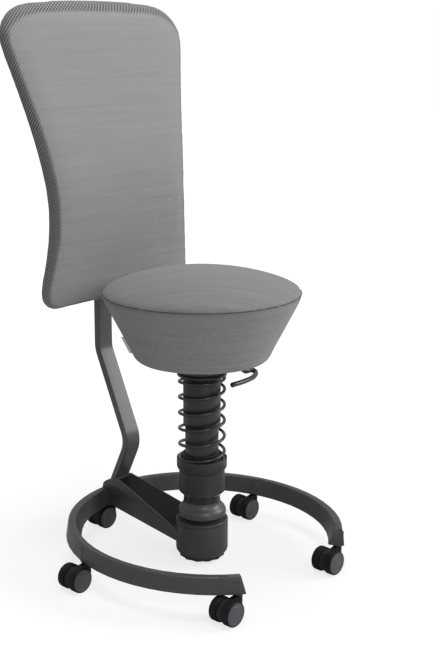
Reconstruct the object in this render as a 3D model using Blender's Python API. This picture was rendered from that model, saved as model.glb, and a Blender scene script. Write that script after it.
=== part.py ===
"""Spring balance stool: a round padded seat on a sprung column that swings in a ball joint,
carried by an open ring on five castors, with a padded backrest on a bent mast.

Metres, +Z up. The stool faces -Y. Sizes are given about the column's axis, with the floor at
z = 0; the finished stool is then set down with the middle of its footprint on the origin.
"""

import math

import bmesh
import bpy
import numpy as np
from mathutils import Matrix, Vector

# Clearances
FIT_GAP = 0.0003
RUNNING_GAP = 0.0006

# Facets of the round pieces
ROUND_STEPS = 32
SMALL_STEPS = 20

# Base ring: an ellipse open at the front, with a section that is wider at the bottom
RING_OUTER_TOP = 0.274
RING_OUTER_BOTTOM = 0.279
RING_INNER_TOP = 0.259
RING_INNER_BOTTOM = 0.2467
RING_TOP_Z = 0.0917
RING_BOTTOM_Z = 0.0573
RING_LENGTH_RATIO = 1.0715
RING_CENTRE_Y = -0.0064
RING_END_TOP_DEG = 34.6
RING_END_BOTTOM_DEG = 32.9
RING_EDGE_CHAMFER = 0.002
RING_STATIONS = 47

# Castors: angle from the front, as an ellipse parameter
CASTOR_ANGLES_DEG = (-35.5, 35.5, 107.0, 180.0, -107.0)
CASTOR_NAMES = ("front_right", "front_left", "side_left", "rear", "side_right")
CASTOR_ORBIT = 0.2655
CASTOR_TRAIL = 0.032
WHEEL_RADIUS = 0.025
AXLE_Z = 0.030
WHEEL_WIDTH = 0.0175
WHEEL_INNER_Y = 0.0068
WHEEL_EDGE = 0.003
WHEEL_BORE = 0.0036
WHEEL_DISH_RADIUS = 0.0185
WHEEL_DISH_DEPTH = 0.0015
AXLE_RADIUS = 0.003
FORK_HALF_WIDTH = 0.0058
FORK_HOOD_RADIUS = 0.0225
FORK_BOSS_RADIUS = 0.0088
FORK_BOSS_BOTTOM_Z = 0.031
STEM_RADIUS = 0.0055
STEM_LENGTH = 0.020
SOCKET_RADIUS = 0.0125
SOCKET_TOP_Z = 0.0823
SOCKET_BOTTOM_Z = 0.0553
SOCKET_TURN_DEG = 5.3

# Swing joint under the column
PIVOT_Z = 0.066
BARREL_RADIUS = 0.0543
BARREL_TOP_Z = 0.0947
BARREL_BOTTOM_Z = 0.0215
BARREL_WALL = 0.007
BARREL_FLOOR = 0.006
BARREL_CORNER = 0.006
KNOB_RADIUS = 0.0505
KNOB_BOTTOM_Z = 0.0107
KNOB_FLUTES = 12
KNOB_FLUTE_DEPTH = 0.003
KNOB_STUD_RADIUS = 0.006
KNOB_STUD_REACH = 0.004
BALL_RADIUS = 0.020
BUSH_HALF_HEIGHT = 0.020
STEM_SHAFT_RADIUS = 0.012
DOME_RADIUS = 0.0503
DOME_BOTTOM_Z = 0.1047
DOME_TOP_Z = 0.1245
GAITER_RADIUS = 0.0518
GAITER_WALL = 0.007

# Sprung column
NECK_RADIUS = 0.0377
NECK_WALL = 0.0028
SLEEVE_RADIUS = 0.0474
SLEEVE_BOTTOM_Z = 0.1517
CUP_BOTTOM_Z = 0.205
CUP_LIP_Z = 0.228
CUP_RADIUS = 0.052
CUP_LIP_WALL = 0.0018
LOWER_TUBE_RADIUS = 0.0345
LOWER_TUBE_WALL = 0.003
LOWER_TUBE_TOP_Z = 0.343
UPPER_TUBE_RADIUS = 0.0385
UPPER_TUBE_BOTTOM_Z = 0.298
SPRING_WIRE = 0.0066
SPRING_OUTER_RADIUS = 0.0497
SPRING_BOTTOM_Z = 0.2187
SPRING_TURNS = 5.0
SPRING_POINTS_PER_TURN = 16
SPRING_FLAT_TURNS = 0.75
BUMP_STOP_RADIUS = 0.0418
BUMP_STOP_HEIGHT = 0.020
PLATE_BOTTOM_Z = 0.4035
PLATE_THICKNESS = 0.0065
PLATE_RADIUS = 0.051
PLATE_COLLAR_RADIUS = 0.0422
PLATE_COLLAR_HEIGHT = 0.014

# Gas lift inside the column
STAND_TUBE_RADIUS = 0.025
STAND_TUBE_WALL = 0.0025
STAND_TUBE_BOTTOM_Z = 0.200
STAND_TUBE_FLOOR = 0.004
STAND_TUBE_TOP_Z = 0.4205
GUIDE_BUSH_LENGTH = 0.045
BEARING_HEIGHT = 0.006
BEARING_RADIUS = 0.016
ROD_RADIUS = 0.005
ROD_SHOULDER_RADIUS = 0.009
ROD_SHOULDER_HEIGHT = 0.0035
PISTON_TOP_Z = 0.422
PISTON_HEIGHT = 0.008
CYLINDER_RADIUS = 0.014
CYLINDER_BORE = 0.0122
CYLINDER_BOTTOM_Z = 0.222
CYLINDER_TOP_Z = 0.455
CYLINDER_END_WALL = 0.005
CYLINDER_HEAD = 0.017
BUTTON_RADIUS = 0.0035
BUTTON_HEIGHT = 0.0105
BUTTON_TRAVEL = 0.005

# Seat
PAN_HUB_RADIUS = 0.023
PAN_BOTTOM_Z = 0.4255
PAN_FLOOR_Z = 0.443
PAN_SHEET = 0.004
PAN_WALL_RADIUS = 0.069
PAN_FLANGE_RADIUS = 0.105
PAN_FLANGE_Z = 0.470
BOARD_RADIUS = 0.113
BOARD_THICKNESS = 0.012
SCREW_ORBIT = 0.088
SCREW_SHANK = 0.003
SCREW_HEAD_RADIUS = 0.0055
SCREW_HEAD_HEIGHT = 0.004
SCREW_BITE = 0.009
SEAT_RADIUS = 0.200
SEAT_RIM_Z = 0.576
SEAT_RIM_EDGE = 0.005
SEAT_BOTTOM_RADIUS = 0.1365
SEAT_BOTTOM_Z = 0.437
SEAT_BOTTOM_ROUND = 0.012
SEAT_CROWN = 0.046
SEAT_STEPS = 40
CROWN_RINGS = 7
TAG_DIRECTION_DEG = 133.2
TAG_LOW_Z = 0.448
TAG_HEIGHT = 0.034
TAG_REACH = 0.011
TAG_THICKNESS = 0.0014

# Height lever: rides under the seat pan and points out to the front left
LEVER_DIRECTION_DEG = -37.3
LEVER_WIRE = 0.0105
LEVER_PIN_REACH = 0.045
LEVER_PIN_RADIUS = 0.0019
LEVER_Z = 0.4638
LEVER_HANDLE_Z = 0.3985
LEVER_HANDLE = ((0.0755, -0.0515, 0.006), (0.088, -0.053, 0.006), (0.0965, -0.0575, 0.004), (0.092, -0.0655, 0.001),
                (0.079, -0.0735, 0.0), (0.060, -0.081, 0.0), (0.028, -0.0855, 0.0), (-0.003, -0.085, 0.0))
LEVER_SLOT_WIDTH = 0.016
BRACKET_CHEEK = 0.003
BRACKET_LENGTH = 0.016

# Rear beam between the barrel and the ring
BEAM_REAR_HALF = 0.0225
BEAM_FRONT_HALF = 0.050
BEAM_FRONT_Y = 0.018
BEAM_TOP_REAR_Y = 0.238
BEAM_TOP_REAR_Z = 0.1255
BEAM_TOP_FRONT_Z = 0.069
BEAM_BOTTOM_FRONT_Z = 0.047
BEAM_BOTTOM_REAR_Z = 0.0568
BEAM_HEEL_Z = 0.112
BEAM_HEEL_INSET = 0.014
BEAM_EDGE = 0.0015
COVER_MARGIN = 0.003
COVER_THICKNESS = 0.0025
COVER_FRONT_Y = 0.041
COVER_BARREL_GAP = 0.0015

# Mast: a flat bar in the middle plane, as (y, z) corners and the radius of its bends
MAST_WIDTH = 0.040
MAST_DEPTH = 0.016
MAST_FOOT = (0.2605, 0.100)
MAST_KNEE = (0.2070, 0.212)
MAST_SHOULDER = (0.2965, 0.408)
MAST_TOP_Z = 0.765
MAST_BEND_RADIUS = 0.055
MAST_BEND_POINTS = 6
MAST_EDGE = 0.003

# Backrest
BACK_BOTTOM_Z = 0.532
BACK_TOP_Z = 1.136
BACK_TOP_ARCH = 0.010
BACK_WAIST_Z = 0.727
BACK_WAIST_HALF = 0.176
BACK_TOP_HALF = 0.245
BACK_BOTTOM_HALF = 0.2075
BACK_WIDEST_Z = 1.075
BACK_FLARE = 1.5
BACK_TOP_CORNER = 0.085
BACK_BOTTOM_CORNER = 0.045
LUMBAR_Z = 0.718
LUMBAR_Y = 0.215
LUMBAR_BLEND = 0.100
LUMBAR_RISE_UP = 0.0275
LUMBAR_RISE_DOWN = 0.022
BACK_HOLLOW = 0.010
BACK_DEPTH_LUMBAR = 0.045
BACK_DEPTH_TOP = 0.030
BACK_DEPTH_BOTTOM = 0.031
BACK_ROWS = 20
BACK_EDGE_SHARE = 0.35
BACK_FLAT_SHARE = 0.85
BACK_END_ROUND = 0.028
BACK_SPREAD = (-1.0, -0.965, -0.85, -0.5, 0.0, 0.5, 0.85, 0.965, 1.0)
SHELL_THICKNESS = 0.0055
SHELL_FIRST_ROW = 5
SHELL_LAST_ROW = 17
CARRIER_BOTTOM_Z = 0.612
CARRIER_LENGTH = 0.090
CARRIER_WALL = 0.006
CARRIER_LAST_ROW = 7
CARRIER_CLEARANCE = 0.0005
BACK_KNOB_RADIUS = 0.022
BACK_KNOB_LENGTH = 0.020
BACK_KNOB_LOBES = 6
BACK_KNOB_LOBE_DEPTH = 0.003
BACK_KNOB_STUD_RADIUS = 0.004

# Finishes: colour, roughness, metallic
FINISHES = {
    "seat_fabric": ((0.21, 0.21, 0.21), 0.95, 0.0),
    "back_fabric": ((0.24, 0.24, 0.24), 0.95, 0.0),
    "tag_fabric": ((0.80, 0.80, 0.80), 0.90, 0.0),
    "ring_paint": ((0.055, 0.055, 0.055), 0.55, 0.3),
    "mast_paint": ((0.045, 0.046, 0.048), 0.40, 0.4),
    "black_plastic": ((0.012, 0.012, 0.014), 0.50, 0.0),
    "column_black": ((0.020, 0.020, 0.020), 0.45, 0.2),
    "spring_black": ((0.022, 0.022, 0.022), 0.30, 0.5),
    "castor_plastic": ((0.018, 0.018, 0.020), 0.55, 0.0),
    "rubber": ((0.015, 0.015, 0.015), 0.85, 0.0),
    "steel": ((0.55, 0.55, 0.56), 0.30, 1.0),
    "plywood": ((0.55, 0.40, 0.24), 0.70, 0.0),
}


# Scene helpers

def clear_scene():
    for obj in list(bpy.data.objects):
        bpy.data.objects.remove(obj, do_unlink=True)


def finish(name):
    """The Principled material of that name, made once."""
    found = bpy.data.materials.get(name)
    if found:
        return found
    colour, roughness, metallic = FINISHES[name]
    material = bpy.data.materials.new(name)
    material.use_nodes = True
    shader = material.node_tree.nodes["Principled BSDF"]
    shader.inputs["Base Color"].default_value = (*colour, 1.0)
    shader.inputs["Roughness"].default_value = roughness
    shader.inputs["Metallic"].default_value = metallic
    return material


def empty(name, at=(0.0, 0.0, 0.0), parent=None):
    obj = bpy.data.objects.new(name, None)
    bpy.context.scene.collection.objects.link(obj)
    obj.parent = parent
    obj.location = at
    bpy.context.view_layer.update()
    return obj


def piece(name, bm, parent, finish_name, smooth=35):
    """An object made from a bmesh in the stool's frame, carried by its parent without moving."""
    bmesh.ops.remove_doubles(bm, verts=bm.verts, dist=1e-6)
    bmesh.ops.recalc_face_normals(bm, faces=bm.faces)
    mesh = bpy.data.meshes.new(name)
    bm.to_mesh(mesh)
    bm.free()
    mesh.shade_smooth()
    mesh.set_sharp_from_angle(angle=math.radians(smooth))
    obj = bpy.data.objects.new(name, mesh)
    bpy.context.scene.collection.objects.link(obj)
    if finish_name:
        mesh.materials.append(finish(finish_name))
    obj.parent = parent
    bpy.context.view_layer.update()
    obj.matrix_parent_inverse = parent.matrix_world.inverted()
    return obj


def cutter(name, bm, parent):
    obj = piece(name, bm, parent, None)
    obj.hide_render = True
    obj.display_type = "WIRE"
    return obj


def boolean(obj, other, operation):
    modifier = obj.modifiers.new(other.name, "BOOLEAN")
    modifier.operation = operation
    modifier.object = other
    modifier.solver = "EXACT"


def bevel(obj, width, segments=1, angle=40):
    modifier = obj.modifiers.new("edge", "BEVEL")
    modifier.width = width
    modifier.segments = segments
    modifier.limit_method = "ANGLE"
    modifier.angle_limit = math.radians(angle)


# Shape helpers

def turned(profile, steps=ROUND_STEPS, closed=True):
    """A profile of (radius, height) points spun round Z. An open profile runs from axis to axis."""
    bm = bmesh.new()
    points = [bm.verts.new((radius, 0.0, height)) for radius, height in profile]
    last = len(points) if closed else len(points) - 1
    edges = [bm.edges.new((points[i], points[(i + 1) % len(points)])) for i in range(last)]
    bmesh.ops.spin(bm, geom=points + edges, cent=(0, 0, 0), axis=(0, 0, 1),
                   angle=math.tau, steps=steps, use_merge=True)
    bmesh.ops.remove_doubles(bm, verts=bm.verts, dist=1e-6)
    return bm


def tube(outer, inner, bottom, top, steps=ROUND_STEPS):
    return turned([(outer, bottom), (outer, top), (inner, top), (inner, bottom)], steps)


def rod(radius, bottom, top, steps=SMALL_STEPS):
    return turned([(0.0, bottom), (radius, bottom), (radius, top), (0.0, top)], steps, closed=False)


def prism(outline, low, high):
    """An outline of (y, z) points extruded along X from low to high."""
    bm = bmesh.new()
    face = bm.faces.new([bm.verts.new((low, y, z)) for y, z in outline])
    made = bmesh.ops.extrude_face_region(bm, geom=[face])
    moved = [v for v in made["geom"] if isinstance(v, bmesh.types.BMVert)]
    bmesh.ops.translate(bm, verts=moved, vec=(high - low, 0, 0))
    return bm


def box(low, high):
    outline = [(low[1], low[2]), (high[1], low[2]), (high[1], high[2]), (low[1], high[2])]
    return prism(outline, low[0], high[0])


def lofted(loops):
    """Closed loops of as many points each, joined in order and capped at both ends."""
    bm = bmesh.new()
    rings = [[bm.verts.new(point) for point in loop] for loop in loops]
    for first, second in zip(rings, rings[1:]):
        for k in range(len(first)):
            bm.faces.new((first[k - 1], first[k], second[k], second[k - 1]))
    bm.faces.new(rings[0])
    bm.faces.new(rings[-1])
    return bm


def swept(path, radius, sides):
    """A round tube along a path of points, with a frame carried along it so that it doesn't twist."""
    points = [Vector(p) for p in path]
    loops = []
    across = None
    for i, point in enumerate(points):
        ahead = points[min(i + 1, len(points) - 1)] - points[max(i - 1, 0)]
        ahead.normalize()
        if across is None:
            across = ahead.orthogonal().normalized()
        across = (across - ahead * across.dot(ahead)).normalized()
        side = ahead.cross(across)
        loops.append([point + radius * (math.cos(a) * across + math.sin(a) * side)
                      for a in (math.tau * k / sides for k in range(sides))])
    return lofted(loops)


def smooth_path(corners, per_span=4):
    """Points on a smooth curve through the corners."""
    points = [np.array(c, float) for c in corners]
    padded = [2 * points[0] - points[1]] + points + [2 * points[-1] - points[-2]]
    found = []
    for a, b, c, d in zip(padded, padded[1:], padded[2:], padded[3:]):
        for k in range(per_span):
            t = k / per_span
            found.append(0.5 * (2 * b + (c - a) * t + (2 * a - 5 * b + 4 * c - d) * t * t
                                + (3 * b - a - 3 * c + d) * t ** 3))
    found.append(points[-1])
    return [tuple(p) for p in found]


def moved(bm, matrix):
    bmesh.ops.transform(bm, matrix=matrix, verts=bm.verts)
    return bm


# Base ring and its castor sockets

def ring_point(radius, angle_deg, height):
    angle = math.radians(angle_deg)
    return (radius * math.sin(angle), RING_CENTRE_Y - RING_LENGTH_RATIO * radius * math.cos(angle), height)


def castor_place(angle_deg):
    return ring_point(CASTOR_ORBIT, angle_deg, 0.0)


def ring_section():
    """Corners of the ring's section as (radius, height), each with its chamfer."""
    corners = [(RING_OUTER_BOTTOM, RING_BOTTOM_Z), (RING_OUTER_TOP, RING_TOP_Z),
               (RING_INNER_TOP, RING_TOP_Z), (RING_INNER_BOTTOM, RING_BOTTOM_Z)]
    section = []
    for i, corner in enumerate(corners):
        for other in (corners[i - 1], corners[(i + 1) % len(corners)]):
            step = Vector(other) - Vector(corner)
            section.append(tuple(Vector(corner) + step.normalized() * RING_EDGE_CHAMFER))
    return section


def at_castors(make):
    """One mesh with a copy of a shape at each castor's place."""
    whole = bmesh.new()
    for angle in CASTOR_ANGLES_DEG:
        turn = Matrix.Rotation(math.radians(SOCKET_TURN_DEG), 4, "Z")
        copy = bpy.data.meshes.new("copy")
        moved(make(), Matrix.Translation(castor_place(angle)) @ turn).to_mesh(copy)
        whole.from_mesh(copy)
        bpy.data.meshes.remove(copy)
    return whole


def ring_end_blocks():
    """A block just past each end of the ring, which trims the end sockets to the slanted cut."""
    blocks = bmesh.new()
    low, high = RING_BOTTOM_Z - 0.012, RING_TOP_Z + 0.012
    near, far = RING_INNER_BOTTOM - 0.012, RING_OUTER_BOTTOM + 0.012
    slant = (RING_END_TOP_DEG - RING_END_BOTTOM_DEG) / (RING_TOP_Z - RING_BOTTOM_Z)
    for side in (1, -1):
        loops = []
        for past in (0.04, 8.0):
            corners = ((near, low), (far, low), (far, high), (near, high))
            loops.append([blocks.verts.new(ring_point(r, side * (
                RING_END_BOTTOM_DEG + slant * (z - RING_BOTTOM_Z) - past), z)) for r, z in corners])
        blocks.faces.new(loops[0])
        blocks.faces.new(loops[1][::-1])
        for k in range(4):
            blocks.faces.new((loops[0][k], loops[1][k], loops[1][(k + 1) % 4], loops[0][(k + 1) % 4]))
    bmesh.ops.triangulate(blocks, faces=blocks.faces)
    bmesh.ops.recalc_face_normals(blocks, faces=blocks.faces)
    return blocks


def base_ring(parent):
    section = ring_section()
    loops = []
    for i in range(RING_STATIONS + 1):
        share = i / RING_STATIONS
        loop = []
        for radius, height in section:
            rise = (height - RING_BOTTOM_Z) / (RING_TOP_Z - RING_BOTTOM_Z)
            end = RING_END_BOTTOM_DEG + rise * (RING_END_TOP_DEG - RING_END_BOTTOM_DEG)
            loop.append(ring_point(radius, end + share * (360.0 - 2 * end), height))
        loops.append(loop)
    body = lofted(loops)
    bmesh.ops.triangulate(body, faces=body.faces)
    ring = piece("base_ring", body, parent, "ring_paint", 30)
    depth = SOCKET_BOTTOM_Z + STEM_LENGTH + FIT_GAP
    sockets = at_castors(lambda: rod(SOCKET_RADIUS, SOCKET_BOTTOM_Z, SOCKET_TOP_Z))
    bores = at_castors(lambda: rod(STEM_RADIUS + FIT_GAP, SOCKET_BOTTOM_Z - 0.01, depth))
    boolean(ring, cutter("sockets", sockets, parent), "UNION")
    boolean(ring, cutter("socket_trims", ring_end_blocks(), parent), "DIFFERENCE")
    boolean(ring, cutter("socket_bores", bores, parent), "DIFFERENCE")
    return ring


# Castors

def along_y(bm):
    """Turns a shape made round Z so that its axis lies along Y."""
    return moved(bm, Matrix.Rotation(-math.pi / 2, 4, "X"))


def wheel_profile():
    inner = WHEEL_INNER_Y
    outer = WHEEL_INNER_Y + WHEEL_WIDTH
    dish = outer - WHEEL_DISH_DEPTH
    return [(WHEEL_BORE, inner), (WHEEL_RADIUS - WHEEL_EDGE, inner), (WHEEL_RADIUS, inner + WHEEL_EDGE),
            (WHEEL_RADIUS, outer - WHEEL_EDGE), (WHEEL_RADIUS - WHEEL_EDGE, outer),
            (WHEEL_DISH_RADIUS, outer), (WHEEL_DISH_RADIUS - WHEEL_DISH_DEPTH, dish), (WHEEL_BORE, dish)]


def fork_outline():
    """Side view of the hood over the axle and the arm that carries it to the boss, as (x, z)."""
    axle_x = -CASTOR_TRAIL
    arc = [(axle_x + FORK_HOOD_RADIUS * math.cos(a), AXLE_Z + FORK_HOOD_RADIUS * math.sin(a))
           for a in (math.radians(d) for d in range(60, 241, 20))]
    top = AXLE_Z + FORK_HOOD_RADIUS
    return [(0.0, FORK_BOSS_BOTTOM_Z), (0.0, top)] + arc


def castor(name, angle_deg, parent):
    swivel = empty("castor_" + name + "_swivel", castor_place(angle_deg), parent)
    here = Matrix.Translation(castor_place(angle_deg))
    axle_at = here @ Matrix.Translation((-CASTOR_TRAIL, 0, AXLE_Z))
    hood = bmesh.new()
    face = hood.faces.new([hood.verts.new((x, -FORK_HALF_WIDTH, z)) for x, z in fork_outline()])
    made = bmesh.ops.extrude_face_region(hood, geom=[face])
    bmesh.ops.translate(hood, verts=[v for v in made["geom"] if isinstance(v, bmesh.types.BMVert)],
                        vec=(0, 2 * FORK_HALF_WIDTH, 0))
    fork = piece("castor_" + name + "_fork", moved(hood, here), swivel, "castor_plastic")
    boss_top = SOCKET_BOTTOM_Z - FIT_GAP
    boss = turned([(0.0, FORK_BOSS_BOTTOM_Z), (FORK_BOSS_RADIUS, FORK_BOSS_BOTTOM_Z),
                   (FORK_BOSS_RADIUS, boss_top), (STEM_RADIUS, boss_top),
                   (STEM_RADIUS, boss_top + STEM_LENGTH), (0.0, boss_top + STEM_LENGTH)],
                  SMALL_STEPS, closed=False)
    boolean(fork, cutter("boss_" + name, moved(boss, here), swivel), "UNION")
    reach = WHEEL_INNER_Y + WHEEL_WIDTH - WHEEL_DISH_DEPTH
    hole = along_y(rod(AXLE_RADIUS + FIT_GAP, -2 * reach, 2 * reach))
    boolean(fork, cutter("axle_hole_" + name, moved(hole, axle_at), swivel), "DIFFERENCE")
    axle = along_y(rod(AXLE_RADIUS, -reach, reach, 16))
    piece("castor_" + name + "_axle", moved(axle, axle_at), swivel, "steel")
    for side, turn in (("rear", 0.0), ("front", math.pi)):
        spin = empty("castor_" + name + "_" + side + "_spin", axle_at.translation, parent)
        facing = Matrix.Rotation(turn, 4, "Z") @ Matrix.Rotation(-math.pi / 2, 4, "X")
        start = Matrix.Rotation(math.pi / 2 - math.pi / (ROUND_STEPS - 8), 4, "Z")
        wheel = moved(turned(wheel_profile(), ROUND_STEPS - 8), axle_at @ facing @ start)
        piece("castor_" + name + "_" + side + "_wheel", wheel, spin, "castor_plastic")


# Swing joint

def joint_barrel(parent):
    inner = BARREL_RADIUS - BARREL_WALL
    floor = BARREL_BOTTOM_Z + BARREL_FLOOR
    hole = KNOB_STUD_RADIUS + RUNNING_GAP
    profile = [(hole, BARREL_BOTTOM_Z), (BARREL_RADIUS - BARREL_CORNER, BARREL_BOTTOM_Z),
               (BARREL_RADIUS, BARREL_BOTTOM_Z + BARREL_CORNER), (BARREL_RADIUS, BARREL_TOP_Z),
               (inner, BARREL_TOP_Z), (inner, floor), (hole, floor)]
    return piece("joint_barrel", turned(profile), parent, "ring_paint")


def swing_knob(parent):
    """Fluted knob under the barrel, with the stud that goes up through the barrel's floor."""
    turn = empty("swing_knob_turn", (0, 0, BARREL_BOTTOM_Z), parent)
    top = BARREL_BOTTOM_Z - FIT_GAP
    per_flute = 4
    count = KNOB_FLUTES * per_flute
    loops = []
    for radius, height in ((KNOB_RADIUS * 0.80, KNOB_BOTTOM_Z), (KNOB_RADIUS * 0.93, KNOB_BOTTOM_Z + 0.003),
                           (KNOB_RADIUS * 0.97, top)):
        loop = []
        for k in range(count):
            angle = math.tau * k / count
            flute = KNOB_FLUTE_DEPTH * 0.5 * (1 - math.cos(KNOB_FLUTES * angle))
            loop.append(((radius - flute) * math.cos(angle), (radius - flute) * math.sin(angle), height))
        loops.append(loop)
    knob = piece("swing_knob", lofted(loops), turn, "black_plastic")
    stud_top = BARREL_BOTTOM_Z + BARREL_FLOOR + KNOB_STUD_REACH
    stud = rod(KNOB_STUD_RADIUS, (KNOB_BOTTOM_Z + top) / 2, stud_top)
    boolean(knob, cutter("knob_stud", stud, turn), "UNION")


def swing_bush(parent):
    """Rubber ring with a ball-shaped outside, so that it rolls inside the barrel."""
    outer = BARREL_RADIUS - BARREL_WALL - RUNNING_GAP
    bore = BALL_RADIUS + RUNNING_GAP
    profile = [(bore, PIVOT_Z + BUSH_HALF_HEIGHT), (bore, PIVOT_Z - BUSH_HALF_HEIGHT)]
    steepest = math.asin(BUSH_HALF_HEIGHT / outer)
    for k in range(7):
        angle = -steepest + 2 * steepest * k / 6
        profile.append((outer * math.cos(angle), PIVOT_Z + outer * math.sin(angle)))
    return piece("swing_bush", turned(profile), parent, "rubber")


def ball_stem(parent):
    """Ball in the bush, and the shaft that carries the dome."""
    profile = [(0.0, PIVOT_Z - BALL_RADIUS)]
    lowest, highest = -70, 50
    for k in range(7):
        angle = math.radians(lowest + (highest - lowest) * k / 6)
        profile.append((BALL_RADIUS * math.cos(angle), PIVOT_Z + BALL_RADIUS * math.sin(angle)))
    shaft_top = DOME_BOTTOM_Z - FIT_GAP
    profile += [(STEM_SHAFT_RADIUS, PIVOT_Z + BALL_RADIUS), (STEM_SHAFT_RADIUS, shaft_top), (0.0, shaft_top)]
    return piece("ball_stem", turned(profile, SMALL_STEPS + 4, closed=False), parent, "steel")


def joint_dome(parent):
    """Round-shouldered cap that swings with the column, with the seat for the neck tube."""
    rise = DOME_TOP_Z - DOME_BOTTOM_Z
    shoulder = NECK_RADIUS + FIT_GAP
    profile = [(0.0, DOME_BOTTOM_Z), (DOME_RADIUS, DOME_BOTTOM_Z), (DOME_RADIUS, DOME_BOTTOM_Z + 0.25 * rise)]
    for k in range(1, 6):
        angle = math.radians(90 * k / 5)
        profile.append((shoulder + (DOME_RADIUS - shoulder) * math.cos(angle),
                        DOME_BOTTOM_Z + rise * (0.25 + 0.75 * math.sin(angle))))
    seat = DOME_BOTTOM_Z + 0.5 * rise
    profile += [(shoulder, seat), (0.0, seat)]
    return piece("joint_dome", turned(profile, closed=False), parent, "column_black")


def rubber_gaiter(parent):
    low, high = BARREL_TOP_Z + FIT_GAP, DOME_BOTTOM_Z - FIT_GAP
    middle = (low + high) / 2
    inner = GAITER_RADIUS - GAITER_WALL
    profile = [(inner, low), (GAITER_RADIUS, low), (GAITER_RADIUS - 0.001, middle), (GAITER_RADIUS, high), (inner, high)]
    return piece("rubber_gaiter", turned(profile), parent, "rubber")


# Sprung column

def neck_tube(parent):
    bottom = DOME_BOTTOM_Z + 0.5 * (DOME_TOP_Z - DOME_BOTTOM_Z) + FIT_GAP
    top = CUP_BOTTOM_Z - FIT_GAP
    return piece("neck_tube", tube(NECK_RADIUS, NECK_RADIUS - NECK_WALL, bottom, top), parent, "column_black")


def column_sleeve(parent):
    inner = NECK_RADIUS + FIT_GAP
    edge = 0.0015
    profile = [(inner, SLEEVE_BOTTOM_Z), (SLEEVE_RADIUS - edge, SLEEVE_BOTTOM_Z),
               (SLEEVE_RADIUS, SLEEVE_BOTTOM_Z + edge), (SLEEVE_RADIUS, CUP_BOTTOM_Z - FIT_GAP),
               (inner, CUP_BOTTOM_Z - FIT_GAP)]
    return piece("column_sleeve", turned(profile), parent, "column_black")


def spring_cup(parent):
    """Lower spring seat, with a lip that holds the last coil."""
    inner = LOWER_TUBE_RADIUS + FIT_GAP
    floor = SPRING_BOTTOM_Z - FIT_GAP
    edge = 0.003
    profile = [(inner, CUP_BOTTOM_Z), (CUP_RADIUS - edge, CUP_BOTTOM_Z), (CUP_RADIUS, CUP_BOTTOM_Z + edge),
               (CUP_RADIUS, CUP_LIP_Z), (CUP_RADIUS - CUP_LIP_WALL, CUP_LIP_Z),
               (CUP_RADIUS - CUP_LIP_WALL, floor), (inner, floor)]
    return piece("spring_cup", turned(profile), parent, "column_black")


def lower_tube(parent):
    bottom = DOME_BOTTOM_Z + 0.5 * (DOME_TOP_Z - DOME_BOTTOM_Z) + FIT_GAP
    outer, inner = LOWER_TUBE_RADIUS, LOWER_TUBE_RADIUS - LOWER_TUBE_WALL
    return piece("lower_tube", tube(outer, inner, bottom, LOWER_TUBE_TOP_Z), parent, "column_black")


def bump_stop(parent):
    low = SPRING_BOTTOM_Z
    high = low + BUMP_STOP_HEIGHT
    inner = LOWER_TUBE_RADIUS + FIT_GAP
    profile = [(inner, low), (BUMP_STOP_RADIUS, low), (BUMP_STOP_RADIUS - 0.001, (low + high) / 2),
               (BUMP_STOP_RADIUS - 0.002, high), (inner, high)]
    return piece("bump_stop", turned(profile), parent, "rubber")


def spring_points():
    """Centre line of the spring: a right-handed coil whose ends lie flat on the cup and the plate."""
    radius = SPRING_OUTER_RADIUS - SPRING_WIRE / 2
    low = SPRING_BOTTOM_Z + SPRING_WIRE / 2
    high = PLATE_BOTTOM_Z - FIT_GAP - SPRING_WIRE / 2
    total = SPRING_TURNS + 2 * SPRING_FLAT_TURNS
    settle = 1.2 * SPRING_WIRE
    points = []
    count = int(round(total * SPRING_POINTS_PER_TURN))
    for k in range(count + 1):
        turn = total * k / count
        if turn < SPRING_FLAT_TURNS:
            height = low + settle * turn
        elif turn > total - SPRING_FLAT_TURNS:
            height = high - settle * (total - turn)
        else:
            share = (turn - SPRING_FLAT_TURNS) / SPRING_TURNS
            first = low + settle * SPRING_FLAT_TURNS
            height = first + share * (high - low - 2 * settle * SPRING_FLAT_TURNS)
        angle = math.tau * turn - math.pi / 2
        points.append((radius * math.cos(angle), radius * math.sin(angle), height))
    return points


def main_spring(parent):
    points = spring_points()
    places = np.array(points)
    half = SPRING_POINTS_PER_TURN // 2
    apart = [np.linalg.norm(places[i + half:] - places[i], axis=1).min() for i in range(len(places) - half)]
    print(f"main_spring: least gap to itself {1000 * (min(apart) - SPRING_WIRE):.2f} mm")
    return piece("main_spring", swept(points, SPRING_WIRE / 2, 6), parent, "spring_black", 60)


def upper_tube(parent):
    inner = LOWER_TUBE_RADIUS + RUNNING_GAP
    top = PLATE_BOTTOM_Z - PLATE_COLLAR_HEIGHT - FIT_GAP
    edge = 0.0015
    profile = [(inner, UPPER_TUBE_BOTTOM_Z), (UPPER_TUBE_RADIUS - edge, UPPER_TUBE_BOTTOM_Z),
               (UPPER_TUBE_RADIUS, UPPER_TUBE_BOTTOM_Z + edge), (UPPER_TUBE_RADIUS, top), (inner, top)]
    return piece("upper_tube", turned(profile), parent, "column_black")


def spring_plate(parent):
    """Upper spring seat on a tapered collar, holding the upper tube and the stand tube."""
    inner = STAND_TUBE_RADIUS + FIT_GAP
    collar = PLATE_BOTTOM_Z - PLATE_COLLAR_HEIGHT
    top = PLATE_BOTTOM_Z + PLATE_THICKNESS
    profile = [(inner, collar), (UPPER_TUBE_RADIUS, collar), (PLATE_COLLAR_RADIUS, PLATE_BOTTOM_Z),
               (PLATE_RADIUS, PLATE_BOTTOM_Z), (PLATE_RADIUS, top), (inner, top)]
    return piece("spring_plate", turned(profile), parent, "column_black")


# Gas lift

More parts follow.
